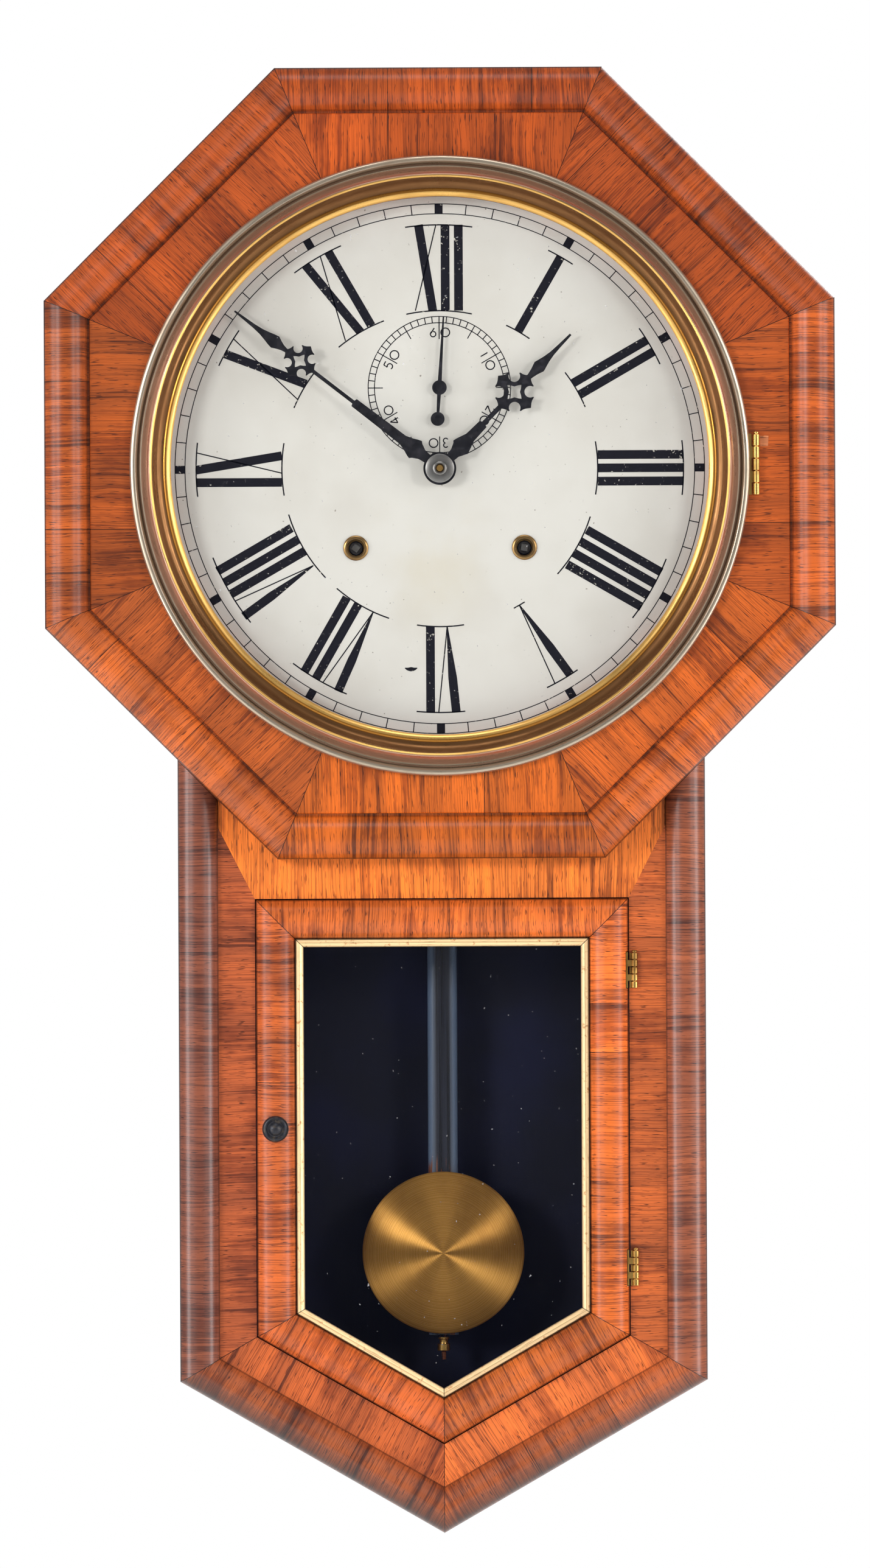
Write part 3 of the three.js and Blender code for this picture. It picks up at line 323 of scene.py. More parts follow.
def metal(name, colour, dark, roughness=0.3, scale=40.0, **settings):
    """A metal with tarnish in soft patches and a fine scratch pattern."""
    shine = Shader(name, Metallic=1.0, **settings)
    place = shine.place()
    patches = shine.noise(place, scale, 5, 0.62)
    scratches = shine.noise(shine.stretch(place, 3000, 3000, 160), 1, 2)
    blend = shine.range(patches, 0.4, 0.72)
    shine.feed("Base Color", shine.mix(blend, srgb(*colour), srgb(*dark)))
    shine.feed("Roughness", shine.range(patches, 0.3, 0.7, roughness * 0.75, roughness * 1.5))
    shine.bump(scratches, 0.00002, 0.35)
    return shine.material


def bezel_brass():
    """Old lacquered brass. Its tint changes band by band over the bezel's mouldings and paints their
    highlights and shade; the grain map's u runs round it.
    """
    shine = Shader("bezel_brass", Metallic=0.9)
    grain = shine.grain()
    rings = shine.noise(shine.stretch(grain, 14, 2600, 1), 1, 2)
    patches = shine.noise(shine.stretch(grain, 30, 160, 1), 1, 5, 0.62)
    tint = shine.tint()
    worn = shine.mix(shine.range(patches, 0.45, 0.75, 0, 0.55), tint, (0.5, 0.4, 0.34, 1), "MULTIPLY")
    lined = shine.mix(shine.range(rings, 0.6, 0.35, 0, 0.22), worn, (0.5, 0.45, 0.4, 1), "MULTIPLY")
    shine.feed("Base Color", lined)
    shine.feed("Roughness", shine.range(patches, 0.3, 0.7, 0.24, 0.42))
    shine.bump(rings, 0.00003, 0.4)
    return shine.material


def spun_brass():
    """The bob's face, brushed round its middle."""
    shine = Shader("spun_brass", Metallic=1.0, Roughness=0.42, Anisotropic=1.0, Anisotropic_Rotation=0.25)
    grain = shine.grain()
    rings = shine.noise(shine.stretch(grain, 3, 2400, 1), 1, 2)
    patches = shine.noise(shine.place(), 28, 5, 0.6)
    colour = shine.mix(shine.range(rings, 0.35, 0.65), srgb(222, 170, 92), srgb(188, 134, 62))
    stained = shine.mix(shine.range(patches, 0.42, 0.75, 0, 0.5), colour, srgb(140, 92, 44))
    shine.feed("Base Color", stained)
    tangent = shine.node("Tangent", {}, direction_type="RADIAL", axis="Y")
    shine.feed("Tangent", tangent.outputs[0])
    shine.bump(rings, 0.00002, 0.25)
    return shine.material


def gilding():
    """Rubbed gold leaf over a reddish ground, multiplied by its tint, which paints shade along the slip's
    edges and in its step.
    """
    leaf = Shader("gilding", Metallic=0.3)
    place = leaf.place()
    rubbed = leaf.noise(place, 300, 5, 0.7)
    streaks = leaf.noise(leaf.stretch(leaf.grain(), 60, 900, 1), 1, 3, 0.6)
    colour = leaf.mix(leaf.range(rubbed, 0.55, 0.7), srgb(255, 220, 166), srgb(196, 134, 78))
    worn = leaf.mix(leaf.range(streaks, 0.42, 0.3, 0, 0.6), colour, srgb(150, 90, 50))
    leaf.feed("Base Color", leaf.mix(1, worn, leaf.tint(), "MULTIPLY"))
    leaf.feed("Roughness", leaf.range(rubbed, 0.3, 0.7, 0.3, 0.55))
    leaf.bump(rubbed, 0.0001, 0.5)
    return leaf.material


def dial_paint():
    """Off-white paint with faint clouds, small specks and a yellowish stain below the hub."""
    paint = Shader("dial_paint", Roughness=0.45, Coat_Weight=0.25, Coat_Roughness=0.25)
    place = paint.place()
    clouds = paint.range(paint.noise(place, 16, 5, 0.6), 0.35, 0.7)
    base = paint.mix(clouds, srgb(216, 214, 206), srgb(208, 205, 196))
    below = paint.node("VectorMath", {0: place, 1: (0.004, 0, 0.047)}, operation="ADD").outputs[0]
    spread = paint.node("VectorMath", {0: paint.stretch(below, 1, 0, 0.7)}, operation="LENGTH").outputs[1]
    stain = paint.maths("MULTIPLY", paint.range(spread, 0.045, 0.0, 0, 0.3), clouds)
    stained = paint.mix(stain, base, srgb(214, 200, 158))
    specks = paint.range(paint.noise(place, 520, 2, 0.4), 0.735, 0.76, 0, 0.65)
    paint.feed("Base Color", paint.mix(specks, stained, srgb(92, 78, 60)))
    paint.bump(paint.noise(place, 420, 3), 0.0001, 0.12)
    return paint.material


def dial_ink():
    """Black printing, worn through to the dial in small specks."""
    ink = Shader("dial_ink", Roughness=0.5, Specular_IOR_Level=0.25)
    place = ink.place()
    area = ink.range(ink.noise(place, 42, 2), 0.45, 0.72, 0.0, 0.075)
    specks = ink.noise(place, 760, 3, 0.55)
    worn = ink.range(ink.maths("ADD", specks, area), 0.7, 0.72)
    ink.feed("Base Color", ink.mix(worn, srgb(10, 9, 20), srgb(205, 201, 188)))
    return ink.material


def black_iron():
    """Thin black finish on the hands, half matt."""
    iron = Shader("black_iron", Metallic=0.35)
    patches = iron.noise(iron.place(), 240, 4, 0.6)
    iron.feed("Base Color", iron.mix(iron.range(patches, 0.45, 0.75), srgb(14, 14, 19), srgb(40, 38, 44)))
    iron.feed("Roughness", iron.range(patches, 0.3, 0.7, 0.38, 0.6))
    iron.bump(patches, 0.00008, 0.3)
    return iron.material


def black_lacquer():
    """Lacquer with lengthwise brush marks, a painted bluish sheen towards its rounded edges, and worn brown
    near its foot.
    """
    coat = Shader("black_lacquer", Roughness=0.3, Coat_Weight=0.5, Coat_Roughness=0.2)
    place = coat.place()
    marks = coat.noise(coat.stretch(place, 900, 900, 6), 1, 3)
    across = coat.maths("ABSOLUTE", coat.node("SeparateXYZ", {0: coat.grain()}).outputs[0])
    height = coat.node("SeparateXYZ", {0: place}).outputs[2]
    low = coat.range(height, -0.35, -0.40, 0, 1)
    flakes = coat.noise(coat.stretch(place, 500, 200, 30), 1, 3)
    wear = coat.range(coat.maths("MULTIPLY", flakes, low), 0.5, 0.58)
    black = coat.mix(coat.range(marks, 0.35, 0.7), srgb(6, 8, 17), srgb(26, 31, 48))
    # A painted sheen: paler bluish grey towards the rod's edges.
    rubbed = coat.mix(coat.range(across, 0.0032, 0.0068, 0, 1), black, srgb(92, 110, 134))
    coat.feed("Base Color", coat.mix(wear, rubbed, srgb(120, 70, 44)))
    coat.feed("Roughness", coat.range(marks, 0.3, 0.7, 0.22, 0.45))
    coat.bump(marks, 0.0001, 0.5)
    return coat.material


def knob_black():
    """Black finish, worn brownish in patches."""
    coat = Shader("knob_black", Metallic=0.5)
    place = coat.place()
    patches = coat.noise(place, 300, 4, 0.6)
    black = coat.mix(coat.range(patches, 0.5, 0.8), srgb(44, 45, 52), srgb(92, 80, 66))
    coat.feed("Base Color", black)
    coat.feed("Roughness", coat.range(patches, 0.3, 0.7, 0.28, 0.5))
    return coat.material


def clear_glass():
    """Thin old glass: almost nothing of it shows but a few light specks of dust."""
    pane = Shader("clear_glass", Roughness=0.04)
    place = pane.place()
    dust = pane.range(pane.noise(place, 420, 2, 0.4), 0.77, 0.8, 0, 1)
    pane.feed("Base Color", pane.mix(dust, (0.01, 0.015, 0.04, 1), (0.6, 0.6, 0.62, 1)))
    pane.feed("Alpha", pane.maths("MULTIPLY_ADD", dust, 0.4, 0.04))
    return pane.material


MATERIALS = {
    "rosewood": veneer("rosewood", 0.8, 0.35),
    "dark_rosewood": veneer("dark_rosewood", 0.9, 0.9),
    "case_wood": plain_wood("case_wood", (176, 128, 82), (90, 90, 5)),
    "backboard_paint": painted_board(),
    "gilt": gilding(),
    "black_lacquer": black_lacquer(),
    "bezel_brass": bezel_brass(),
    "brass": metal("brass", (214, 172, 98), (122, 86, 44)),
    "steel": metal("steel", (150, 149, 146), (96, 90, 84), 0.35),
    "blued_iron": black_iron(),
    "dial_paint": dial_paint(),
    "glass": clear_glass(),
}
INK = dial_ink()
SPUN_BRASS = spun_brass()
KNOB_BLACK = knob_black()
WORN_BRASS = metal("worn_brass", (172, 138, 88), (92, 66, 42))


# ---------------------------------------------------------------- mesh tools


def show(piece, body, slot, *nodes):
    """The piece rides on a body and stands for CAD nodes, which are hidden; its slot is not used."""
    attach(piece, body)
    if nodes:
        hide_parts(*nodes)
    return piece


def add_object(name, data, *materials):
    piece = bpy.data.objects.new(name, data)
    bpy.context.scene.collection.objects.link(piece)
    for material in materials:
        data.materials.append(material)
    return piece


def mesh_object(name, shape, *materials):
    """A new object from a bmesh, which is used up."""
    data = bpy.data.meshes.new(name)
    shape.to_mesh(data)
    shape.free()
    return add_object(name, data, *materials)


def cuboid(low, high):
    """A box between two corners, in millimetres, as a bmesh."""
    shape = bmesh.new()
    bmesh.ops.create_cube(shape, size=1)
    size = (Vector(high) - Vector(low)) * MM
    centre = (Vector(high) + Vector(low)) / 2 * MM
    for vert in shape.verts:
        vert.co = Vector([c * s for c, s in zip(vert.co, size)]) + centre
    return shape


class Shell:
    """One mesh in the making, with a grain map and a tint on its faces."""

    def __init__(self):
        self.mesh = bmesh.new()
        self.grain = self.mesh.loops.layers.uv.new("grain")
        self.tint = self.mesh.loops.layers.float_color.new("tint")

    def strip(self, grid, grains, colours=None, kinds=None):
        """Faces over a grid of points; rows of the grid share their points along and across."""
        rows = [[self.mesh.verts.new(point * MM) for point in row] for row in grid]
        made = []
        for i in range(len(rows) - 1):
            for k in range(len(rows[i]) - 1):
                places = [(i, k), (i + 1, k), (i + 1, k + 1), (i, k + 1)]
                face = self.mesh.faces.new([rows[a][b] for a, b in places])
                face.material_index = kinds[k] if kinds else 0
                for loop, (a, b) in zip(face.loops, places):
                    loop[self.grain].uv = [value * MM for value in grains[a][b]]
                    loop[self.tint] = colours[k] if colours else (1, 1, 1, 1)
                made.append(face)
        return made

    def slice(self, faces, point, normal, drop=False):
        """The faces cut along a plane, in millimetres; with drop, what lies past it is removed."""
        parts = set(faces)
        for face in faces:
            parts.update(face.edges)
            parts.update(face.verts)
        bmesh.ops.bisect_plane(
            self.mesh,
            geom=list(parts),
            plane_co=Vector(point) * MM,
            plane_no=Vector(normal),
            clear_outer=drop,
        )

    def weld(self, reach=0.01):
        bmesh.ops.remove_doubles(self.mesh, verts=self.mesh.verts[:], dist=reach * MM)

    def pocket(self, low, high, walls):
        """A box cut out of the faces, and lined with walls: the axis and side of each, such as x1. The
        walls are tinted almost black, as painted shade in the recess.
        """
        for axis in range(3):
            normal = [float(i == axis) for i in range(3)]
            for corner in (low, high):
                self.slice(self.mesh.faces[:], corner, normal)
        inside = [
            face
            for face in self.mesh.faces
            if all(l < c / MM < h for l, c, h in zip(low, face.calc_center_median(), high))
        ]
        bmesh.ops.delete(self.mesh, geom=inside, context="FACES")
        for axis, end in walls:
            corners = []
            for second, third in ((0, 0), (1, 0), (1, 1), (0, 1)):
                ends = [second, third]
                ends.insert(axis, end)
                corners.append(Vector([(low, high)[ends[i]][i] for i in range(3)]) * MM)
            face = self.mesh.faces.new([self.mesh.verts.new(corner) for corner in corners])
            # Painted shade: the lining is almost black.
            for loop in face.loops:
                loop[self.tint] = (0.03, 0.015, 0.01, 1)

    def finish(self, name, *materials, angle=32):
        self.weld()
        bmesh.ops.recalc_face_normals(self.mesh, faces=self.mesh.faces[:])
        for edge in self.mesh.edges:
            edge.smooth = edge.calc_face_angle(math.pi) < math.radians(angle)
        for face in self.mesh.faces:
            face.smooth = True
        return mesh_object(name, self.mesh, *materials)


def lathe(name, profile, centre, axis, materials, steps=96, tints=None):
    """A profile of (radius, height) points turned about the y or z axis through centre."""
    shell = Shell()
    grid, grains = [], []
    lengths = [0.0]
    for (r0, h0), (r1, h1) in zip(profile, profile[1:]):
        lengths.append(lengths[-1] + math.hypot(r1 - r0, h1 - h0))
    for i in range(steps + 1):
        angle = 2 * math.pi * i / steps
        row = []
        for radius, height in profile:
            radius = max(radius, 0.001)
            if axis == "Y":
                offset = (radius * math.sin(angle), height, radius * math.cos(angle))
            else:
                offset = (radius * math.sin(angle), radius * math.cos(angle), height)
            row.append(Vector(centre) + Vector(offset))
        grid.append(row)
        grains.append([(angle * profile[0][0], length) for length in lengths])
    shell.strip(grid, grains, tints)
    return shell.finish(name, *materials)


def half_round(start, end, base, rise, steps=24):
    """Section points over a flattened half-round, from inset start to inset end."""
    half = (end - start) / 2
    radius = (half * half + rise * rise) / (2 * rise)
    reach = math.atan2(half, radius - rise)
    points = []
    for i in range(steps + 1):
        angle = reach * (2 * i / steps - 1)
        inset = start + half + radius * math.sin(angle)
        points.append((inset, base - rise + radius * (1 - math.cos(angle))))
    return points


# ---------------------------------------------------------------- veneered rails


class Rails:
    """Mitred rails of one frame. A path gives the frame's corner points (x, z) at an inset."""

    def __init__(self, corners_at, seed):
        self.corners_at = corners_at
        self.shell = Shell()
        self.random = random.Random(seed)

    def edge(self, side, inset, share):
        """A point (x, z) at a share of the way along one side of the path."""
        corners = self.corners_at(inset)
        x0, z0 = corners[side]
        x1, z1 = corners[(side + 1) % len(corners)]
        return x0 + (x1 - x0) * share, z0 + (z1 - z0) * share

    def rail(
        self, side, section, colour, leaves=(), kinds=None, inner=None, trims=(), steps=1, painted_shading=()
    ):
        """One rail over a section of (inset, y) points.

        Leaves are the places of the veneer's joints, in millimetres from the rail's middle. An
        inner radius takes the place of an inset of None: the opening of a round hole. The painted
        shading is (low inset, high inset, share) stretches where the colour is multiplied by the
        share: painted shade where the share is below one, a painted highlight where it is above.
        """
        grid = []
        for i in range(steps + 1):
            share = i / steps
            row = []
            for inset, y in section:
                x, z = self.edge(side, inset or 0, share) if inset is not None else (0, 0)
                if inset is None:
                    x, z = on_circle(self.edge(side, 0, share), inner)
                row.append(Vector((x, y, z)))
            grid.append(row)
        start = Vector(self.corners_at(0)[side])
        end = Vector(self.corners_at(0)[(side + 1) % len(self.corners_at(0))])
        run = (end - start).normalized()
        centre = (start + end) / 2
        offset = self.random.uniform(0, 40) / MM
        grains = []
        for row in grid:
            length, across = 0.0, []
            for k, point in enumerate(row):
                length += (point - row[k - 1]).length if k else 0
                across.append(((Vector((point.x, point.z)) - centre).dot(run) + offset, length))
            grains.append(across)
        faces = self.shell.strip(grid, grains, None, kinds)
        self.cut_and_colour(faces, grid, run, centre, colour, leaves, trims, painted_shading)

    def cut_and_colour(self, faces, grid, run, centre, colour, leaves, trims, painted_shading):
        """Cuts the joint lines and mitre lines into a new rail and gives each leaf its own tint."""
        known = set(self.shell.mesh.faces) - set(faces)
        along = Vector((run.x, 0, run.y))
        middle_point = Vector((centre.x, 0, centre.y))
        mitres = []
        for row, sign in ((grid[0], 1), (grid[-1], -1)):
            line = Vector((row[-1].x - row[0].x, 0, row[-1].z - row[0].z))
            if line.length < 1:
                line = Vector((row[len(row) // 2].x - row[0].x, 0, row[len(row) // 2].z - row[0].z))
            normal = line.normalized().cross(Vector((0, 1, 0)))
            normal *= sign * math.copysign(1, normal.dot(along))
            mitres.append((row[0], normal))

        def current():
            return [face for face in self.shell.mesh.faces if face not in known]

        for leaf in leaves:
            for shift in (-SEAM, SEAM):
                self.shell.slice(current(), middle_point + along * (leaf + shift), along)
        for point, normal in mitres:
            self.shell.slice(current(), point + normal * SEAM, normal)
        for point, normal in trims:
            self.shell.slice(current(), point, normal, drop=True)
        tones = [self.random.uniform(0.8, 1.18) for _ in range(len(leaves) + 1)]
        shifts = [self.random.uniform(0, 9) for _ in range(len(leaves) + 1)]
        for face in current():
            spot = face.calc_center_median() / MM
            place = (spot - middle_point).dot(along)
            leaf = sum(place > other for other in leaves)
            joint = any(abs(place - other) < SEAM for other in leaves)
            mitre = any((spot - point).dot(normal) < SEAM for point, normal in mitres)
            tone = 0.16 if joint or mitre else tones[leaf]
            inset = abs((spot - middle_point).cross(along).y)
            # Painted shade and painted highlights along the painted-shading stretches.
            for low, high, share in painted_shading:
                tone *= share if low < inset < high else 1
            for loop in face.loops:
                loop[self.shell.tint] = (*[tone * value for value in colour[:3]], 1)
                loop[self.shell.grain].uv.x += shifts[leaf]


def on_circle(point, radius):
    """The point (x, z) of a circle round the dial's middle, on the ray from (0, 0) through point."""
    ray = Vector(point).normalized()
    lean = ray.y * DIAL_Z
    distance = lean + math.sqrt(lean * lean - DIAL_Z * DIAL_Z + radius * radius)
    return ray.x * distance, ray.y * distance


def octagon_at(inset):
    """The octagon's corners, clockwise from the top side's left end."""
    radius = (HEAD_HALF - inset) / math.cos(math.pi / 8)
    angles = [(i - 0.5) * math.pi / 4 for i in range(8)]
    return [(radius * math.sin(angle), radius * math.cos(angle)) for angle in angles]


def drop_at(inset, top=CASE_TOP_Z):
    """The drop's outline: left top, left corner, point, right corner and right top."""
    half = DROP_HALF - inset
    corner = DROP_CORNER_Z + inset / math.cos(POINT_ANGLE) - inset * math.tan(POINT_ANGLE)
    point = corner - half * math.tan(POINT_ANGLE)
    return [(-half, top), (-half, corner), (0, point), (half, corner), (half, top)]


def door_at(inset):
    return drop_at(DOOR_INSET + inset, DOOR_TOP_Z - inset)


def opened(piece, cutters):
    """The piece with boxes (low corner, high corner), in millimetres, cut out of its mesh."""
    for low, high in cutters:
        tool = mesh_object("cutter", cuboid(low, high))
        cut = piece.modifiers.new("cut", "BOOLEAN")
        cut.operation = "DIFFERENCE"
        cut.solver = "EXACT"
        cut.object = tool
        graph = bpy.context.evaluated_depsgraph_get()
        shaped = bpy.data.meshes.new_from_object(piece.evaluated_get(graph))
        piece.modifiers.remove(cut)
        piece.data = shaped
        bpy.data.objects.remove(tool)
    return piece


HEAD_COLOURS = [
    srgb(174, 77, 26),
    srgb(158, 70, 26),
    srgb(174, 82, 32),
    srgb(186, 90, 34),
    srgb(188, 92, 30),
    srgb(186, 92, 40),
    srgb(166, 80, 32),
    srgb(160, 72, 28),
]


# Painted light and shade across each octagon rail: darker at the half-round's outer edge, at its inner edge
# and in the groove, and a pale painted highlight on the field beside the groove.
HEAD_PAINTED_SHADING = [
    (-1, 1, 0.3),
    (HEAD_MOULDING - 1.1, HEAD_MOULDING, 0.8),
    (HEAD_MOULDING, HEAD_MOULDING + HEAD_GROOVE, 0.6),
    (HEAD_MOULDING + HEAD_GROOVE, HEAD_MOULDING + HEAD_GROOVE + 0.4, 1.6),
]


def head_frame():
    rails = Rails(octagon_at, 4)
    opening = DIAL_RADIUS - 6
    rebate = opening + 6.3
    moulding = [
        (0, HEAD_BACK),
        *half_round(0, HEAD_MOULDING, HEAD_FRONT, HEAD_RISE),
        (HEAD_MOULDING, HEAD_FRONT + GROOVE_DEPTH),
        (HEAD_MOULDING + HEAD_GROOVE, HEAD_FRONT + GROOVE_DEPTH),
    ]
    field = [
        (HEAD_MOULDING + HEAD_GROOVE, HEAD_FRONT + GROOVE_DEPTH),
        (HEAD_MOULDING + HEAD_GROOVE, HEAD_FRONT + 0.4),
        (HEAD_MOULDING + HEAD_GROOVE + 0.4, HEAD_FRONT),
        (None, HEAD_FRONT),
        (None, DIAL_FRONT - 0.3),
    ]
    back = [(None, HEAD_BACK), (0, HEAD_BACK)]
    wall = [(None, HEAD_BACK), (None, DIAL_FRONT - 0.3)]
    joints = [(-28, 52), (-60, 38), (34,), (-40, 64), (-24, 30), (-8, 58), (-36, 46), (-50, 12)]
    for side, colour in enumerate(HEAD_COLOURS):
        rails.rail(side, moulding, colour, joints[side], painted_shading=HEAD_PAINTED_SHADING)
        rails.rail(side, field, colour, joints[side][:1], inner=opening, steps=12, painted_shading=HEAD_PAINTED_SHADING)
        rails.rail(side, back, colour, inner=rebate, steps=12, kinds=[1])
        rails.rail(side, wall, colour, inner=rebate, steps=12)
    piece = rails.shell.finish("Head.Frame", MATERIALS["rosewood"], MATERIALS["case_wood"])
    show(piece, "case", "rosewood", "head_frame")
    repair()


def repair():
    """A small paler piece let into the veneer beside the top of the bezel's hinge."""
    high = extent("bezel_hinge_leaf")[1]
    outline = [(178.3, -5.6), (182.6, -5.5), (182.9, 0.2), (180.9, 0.5), (179.9, 0.1), (178.2, 0.3)]
    shell = Shell()
    points = [Vector((x, HEAD_FRONT - 0.03, high.z - 1.5 + z)) * MM for x, z in outline]
    face = shell.mesh.faces.new([shell.mesh.verts.new(point) for point in points])
    for loop, (x, z) in zip(face.loops, outline):
        loop[shell.grain].uv = (z * MM, x * MM)
        loop[shell.tint] = srgb(222, 140, 92)
    grown = bmesh.ops.extrude_face_region(shell.mesh, geom=[face])
    bmesh.ops.translate(
        shell.mesh,
        vec=(0, 0.3 * MM, 0),
        verts=[item for item in grown["geom"] if isinstance(item, bmesh.types.BMVert)],
    )
    show(shell.finish("Head.Repair", MATERIALS["rosewood"]), "case", "rosewood")


def drop_frame():
    """The stiles and the pointed bottom rails. Their mouldings stop where the octagon lies on them."""
    diagonal = HEAD_HALF + 0.3
    inner_side = DROP_HALF - DROP_FIELD
    turn = math.sqrt(0.5)
    moulding = [
        (0, FRAME_BACK),
        *half_round(0, DROP_MOULDING, FRAME_FRONT, DROP_RISE),
    ]
    field = [
        (DROP_MOULDING, FRAME_FRONT),
        (DROP_FIELD, FRAME_FRONT),
        (DROP_FIELD, FRAME_BACK),
    ]
    outer = [srgb(112, 60, 44), srgb(146, 74, 40), srgb(170, 86, 44), srgb(132, 70, 46)]
    flats = [srgb(164, 82, 48), srgb(178, 88, 46), srgb(204, 104, 52), srgb(200, 102, 54)]
    joints = [(60, -90), (18,), (-22, 30), (-64, 20)]
    field_joints = [(-120, -40, 34), (), (), (110, 22, -84)]
    names = ["stile_left", "rail_left", "rail_right", "stile_right"]
    for side, name in enumerate(names):
        rails = Rails(drop_at, 20 + side)
        across = -1 if side < 2 else 1
        trims, field_trims = [], []
        if name.startswith("stile"):
            normal = (-across * turn, 0, turn)
            point = (across * diagonal * turn, 0, -diagonal * turn)
            trims.append((point, normal))
            lean = Vector((inner_side - PANEL_CORNER[0], 0, PANEL_FOOT_Z - PANEL_CORNER[1])).normalized()
            slope = Vector((-lean.z * -across, 0, abs(lean.x)))
            field_trims.append(((across * inner_side, 0, DOOR_TOP_Z + 0.6), slope))
        # Painted shade: darker along both edges of the half-round, and on the pointed bottom's rails darker
        # step by step over its outer half, down to its outer edge.
        painted_shading = [(-1, 0.9, 0.4), (DROP_MOULDING - 0.9, DROP_MOULDING, 0.5)]
        if name.startswith("rail"):
            painted_shading += [(0.9 + i, 1.9 + i, 0.22 + 0.075 * i) for i in range(10)]
        rails.rail(side, moulding, outer[side], joints[side], trims=trims, painted_shading=painted_shading)
        rails.rail(side, field, flats[side], field_joints[side], trims=field_trims, kinds=[2, 2])
        rails.rail(side, [(DROP_FIELD, FRAME_BACK), (0, FRAME_BACK)], flats[side], kinds=[1])
        if name.startswith("stile"):
            under_y = HEAD_BACK + UNDER_HEAD
            under_head = [(0, FRAME_BACK), (0, under_y), (DROP_FIELD, under_y)]
            below = (-normal[0], 0, -normal[2])
            rails.rail(side, under_head, outer[side], trims=[(point, below)])
        if side == 3:
            for z in hinge_heights():
                low = (inner_side, FRAME_FRONT, z - DOOR_POCKET)
                high = (110.7, -91.4, z + DOOR_POCKET)
                rails.shell.pocket(low, high, walls=[(0, 1), (1, 1), (2, 0), (2, 1)])
        woods = [MATERIALS[wood] for wood in ("dark_rosewood", "case_wood", "rosewood")]
        show(rails.shell.finish("Drop." + name, *woods), "case", "dark_rosewood", "drop_" + name)


def hinge_heights():
    """The heights of the door's upper and lower hinges."""
    return [middle(f"door_hinge_leaf_{name}").z for name in ("upper", "lower")]


def drop_panel():
    """The panel between the octagon and the door, its grain upright."""
    low, high = extent("drop_panel")
    half = DROP_HALF - DROP_FIELD
    outline = [
        (-half, low.z),
        (half, low.z),
        (high.x, PANEL_CORNER[1]),
        (high.x, high.z),
        (low.x, high.z),
        (low.x, PANEL_CORNER[1]),
    ]
    shell = Shell()
    colour = srgb(246, 130, 52)
    for y in (FRAME_FRONT, FRAME_BACK):
        points = [Vector((x, y, z)) for x, z in outline]
        face = shell.mesh.faces.new([shell.mesh.verts.new(point * MM) for point in points])
        for loop, (x, z) in zip(face.loops, outline):
            loop[shell.grain].uv = (x * MM + 3, z * MM)
            loop[shell.tint] = colour
    loop_points = outline + outline[:1]
    grid = [[Vector((x, y, z)) for y in (FRAME_FRONT, FRAME_BACK)] for x, z in loop_points]
    grains = [[(x + z, y) for y in (FRAME_FRONT, FRAME_BACK)] for x, z in loop_points]
    shell.strip(grid, grains, [colour])
    piece = shell.finish("Drop.panel", MATERIALS["rosewood"])
    show(piece, "case", "rosewood", "drop_panel")


def door():
    """The glazed door with its mitred half-round, the rubbed gilt slip and the pane."""
    rails = Rails(door_at, 31)
    lip_y = FRAME_FRONT + 2.2
    section = [
        (0, FRAME_BACK),
        *half_round(0, DOOR_MOULDING, FRAME_FRONT, DOOR_RISE),
        (DOOR_MOULDING, lip_y),
        (DOOR_MOULDING - DOOR_LIP, lip_y),
        (DOOR_MOULDING - DOOR_LIP, FRAME_BACK),
        (0, FRAME_BACK),
    ]
    kinds = [0] * (len(section) - 4) + [1, 1, 1]
    colours = [
        srgb(192, 94, 46),
        srgb(198, 96, 46),
        srgb(200, 102, 46),
        srgb(204, 100, 42),
        srgb(212, 106, 46),
    ]
    joints = [(-20,), (14,), (), (36,), (-4,)]
    for side, colour in enumerate(colours):
        # Painted shade along both edges of the door's half-round.
        painted_shading = [(-1, 0.9, 0.35), (DOOR_MOULDING - 0.8, DOOR_MOULDING + 1, 0.5)]
        rails.rail(side, section, colour, joints[side], kinds=kinds, painted_shading=painted_shading)
    frame_piece = rails.shell.finish("Door.Frame", MATERIALS["rosewood"], MATERIALS["case_wood"])
    cutters = [
        ((102.3, -98, z - DOOR_POCKET), (105.8, -83, z + DOOR_POCKET)) for z in hinge_heights()
    ]
    low = (KNOB_X - KNOB_HOLE, -110, KNOB_Z - KNOB_HOLE)
    high = (KNOB_X + KNOB_HOLE, -80, KNOB_Z + KNOB_HOLE)
    cutters.append((low, high))
    show(opened(frame_piece, cutters), "door", "rosewood", "door_frame")

    start = DOOR_MOULDING + 0.3
    end = start + SLIP_WIDTH
    slip_section = [
        (start, lip_y),
        (start, lip_y - 3.2),
        (start + 0.5, lip_y - 3.7),
        (start + 1.3, lip_y - 3.75),
        (start + 1.9, lip_y - 3.2),
        (start + 2.3, lip_y - 2.6),
        (start + 3.2, lip_y - 2.2),
        (end - 0.4, lip_y - 1.2),
        (end, lip_y - 0.8),
        (end, lip_y),
        (start, lip_y),
    ]
    slip = Rails(door_at, 40)
    # Painted shade: the gilt is darker along both edges of the slip and in the step of its moulding.
    edges = [(start - 1, start + 0.5, 0.35), (start + 1.9, start + 2.4, 0.75), (end - 0.7, end + 1, 0.4)]
    for side in range(5):
        slip.rail(side, slip_section, (1, 1, 1, 1), painted_shading=edges)
    show(slip.shell.finish("Door.GiltSlip", MATERIALS["gilt"]), "door", "gilt", "gilt_slip")

    inset = DOOR_MOULDING - DOOR_LIP + 0.3
    pane(door_at(inset), "door_glass", "door")


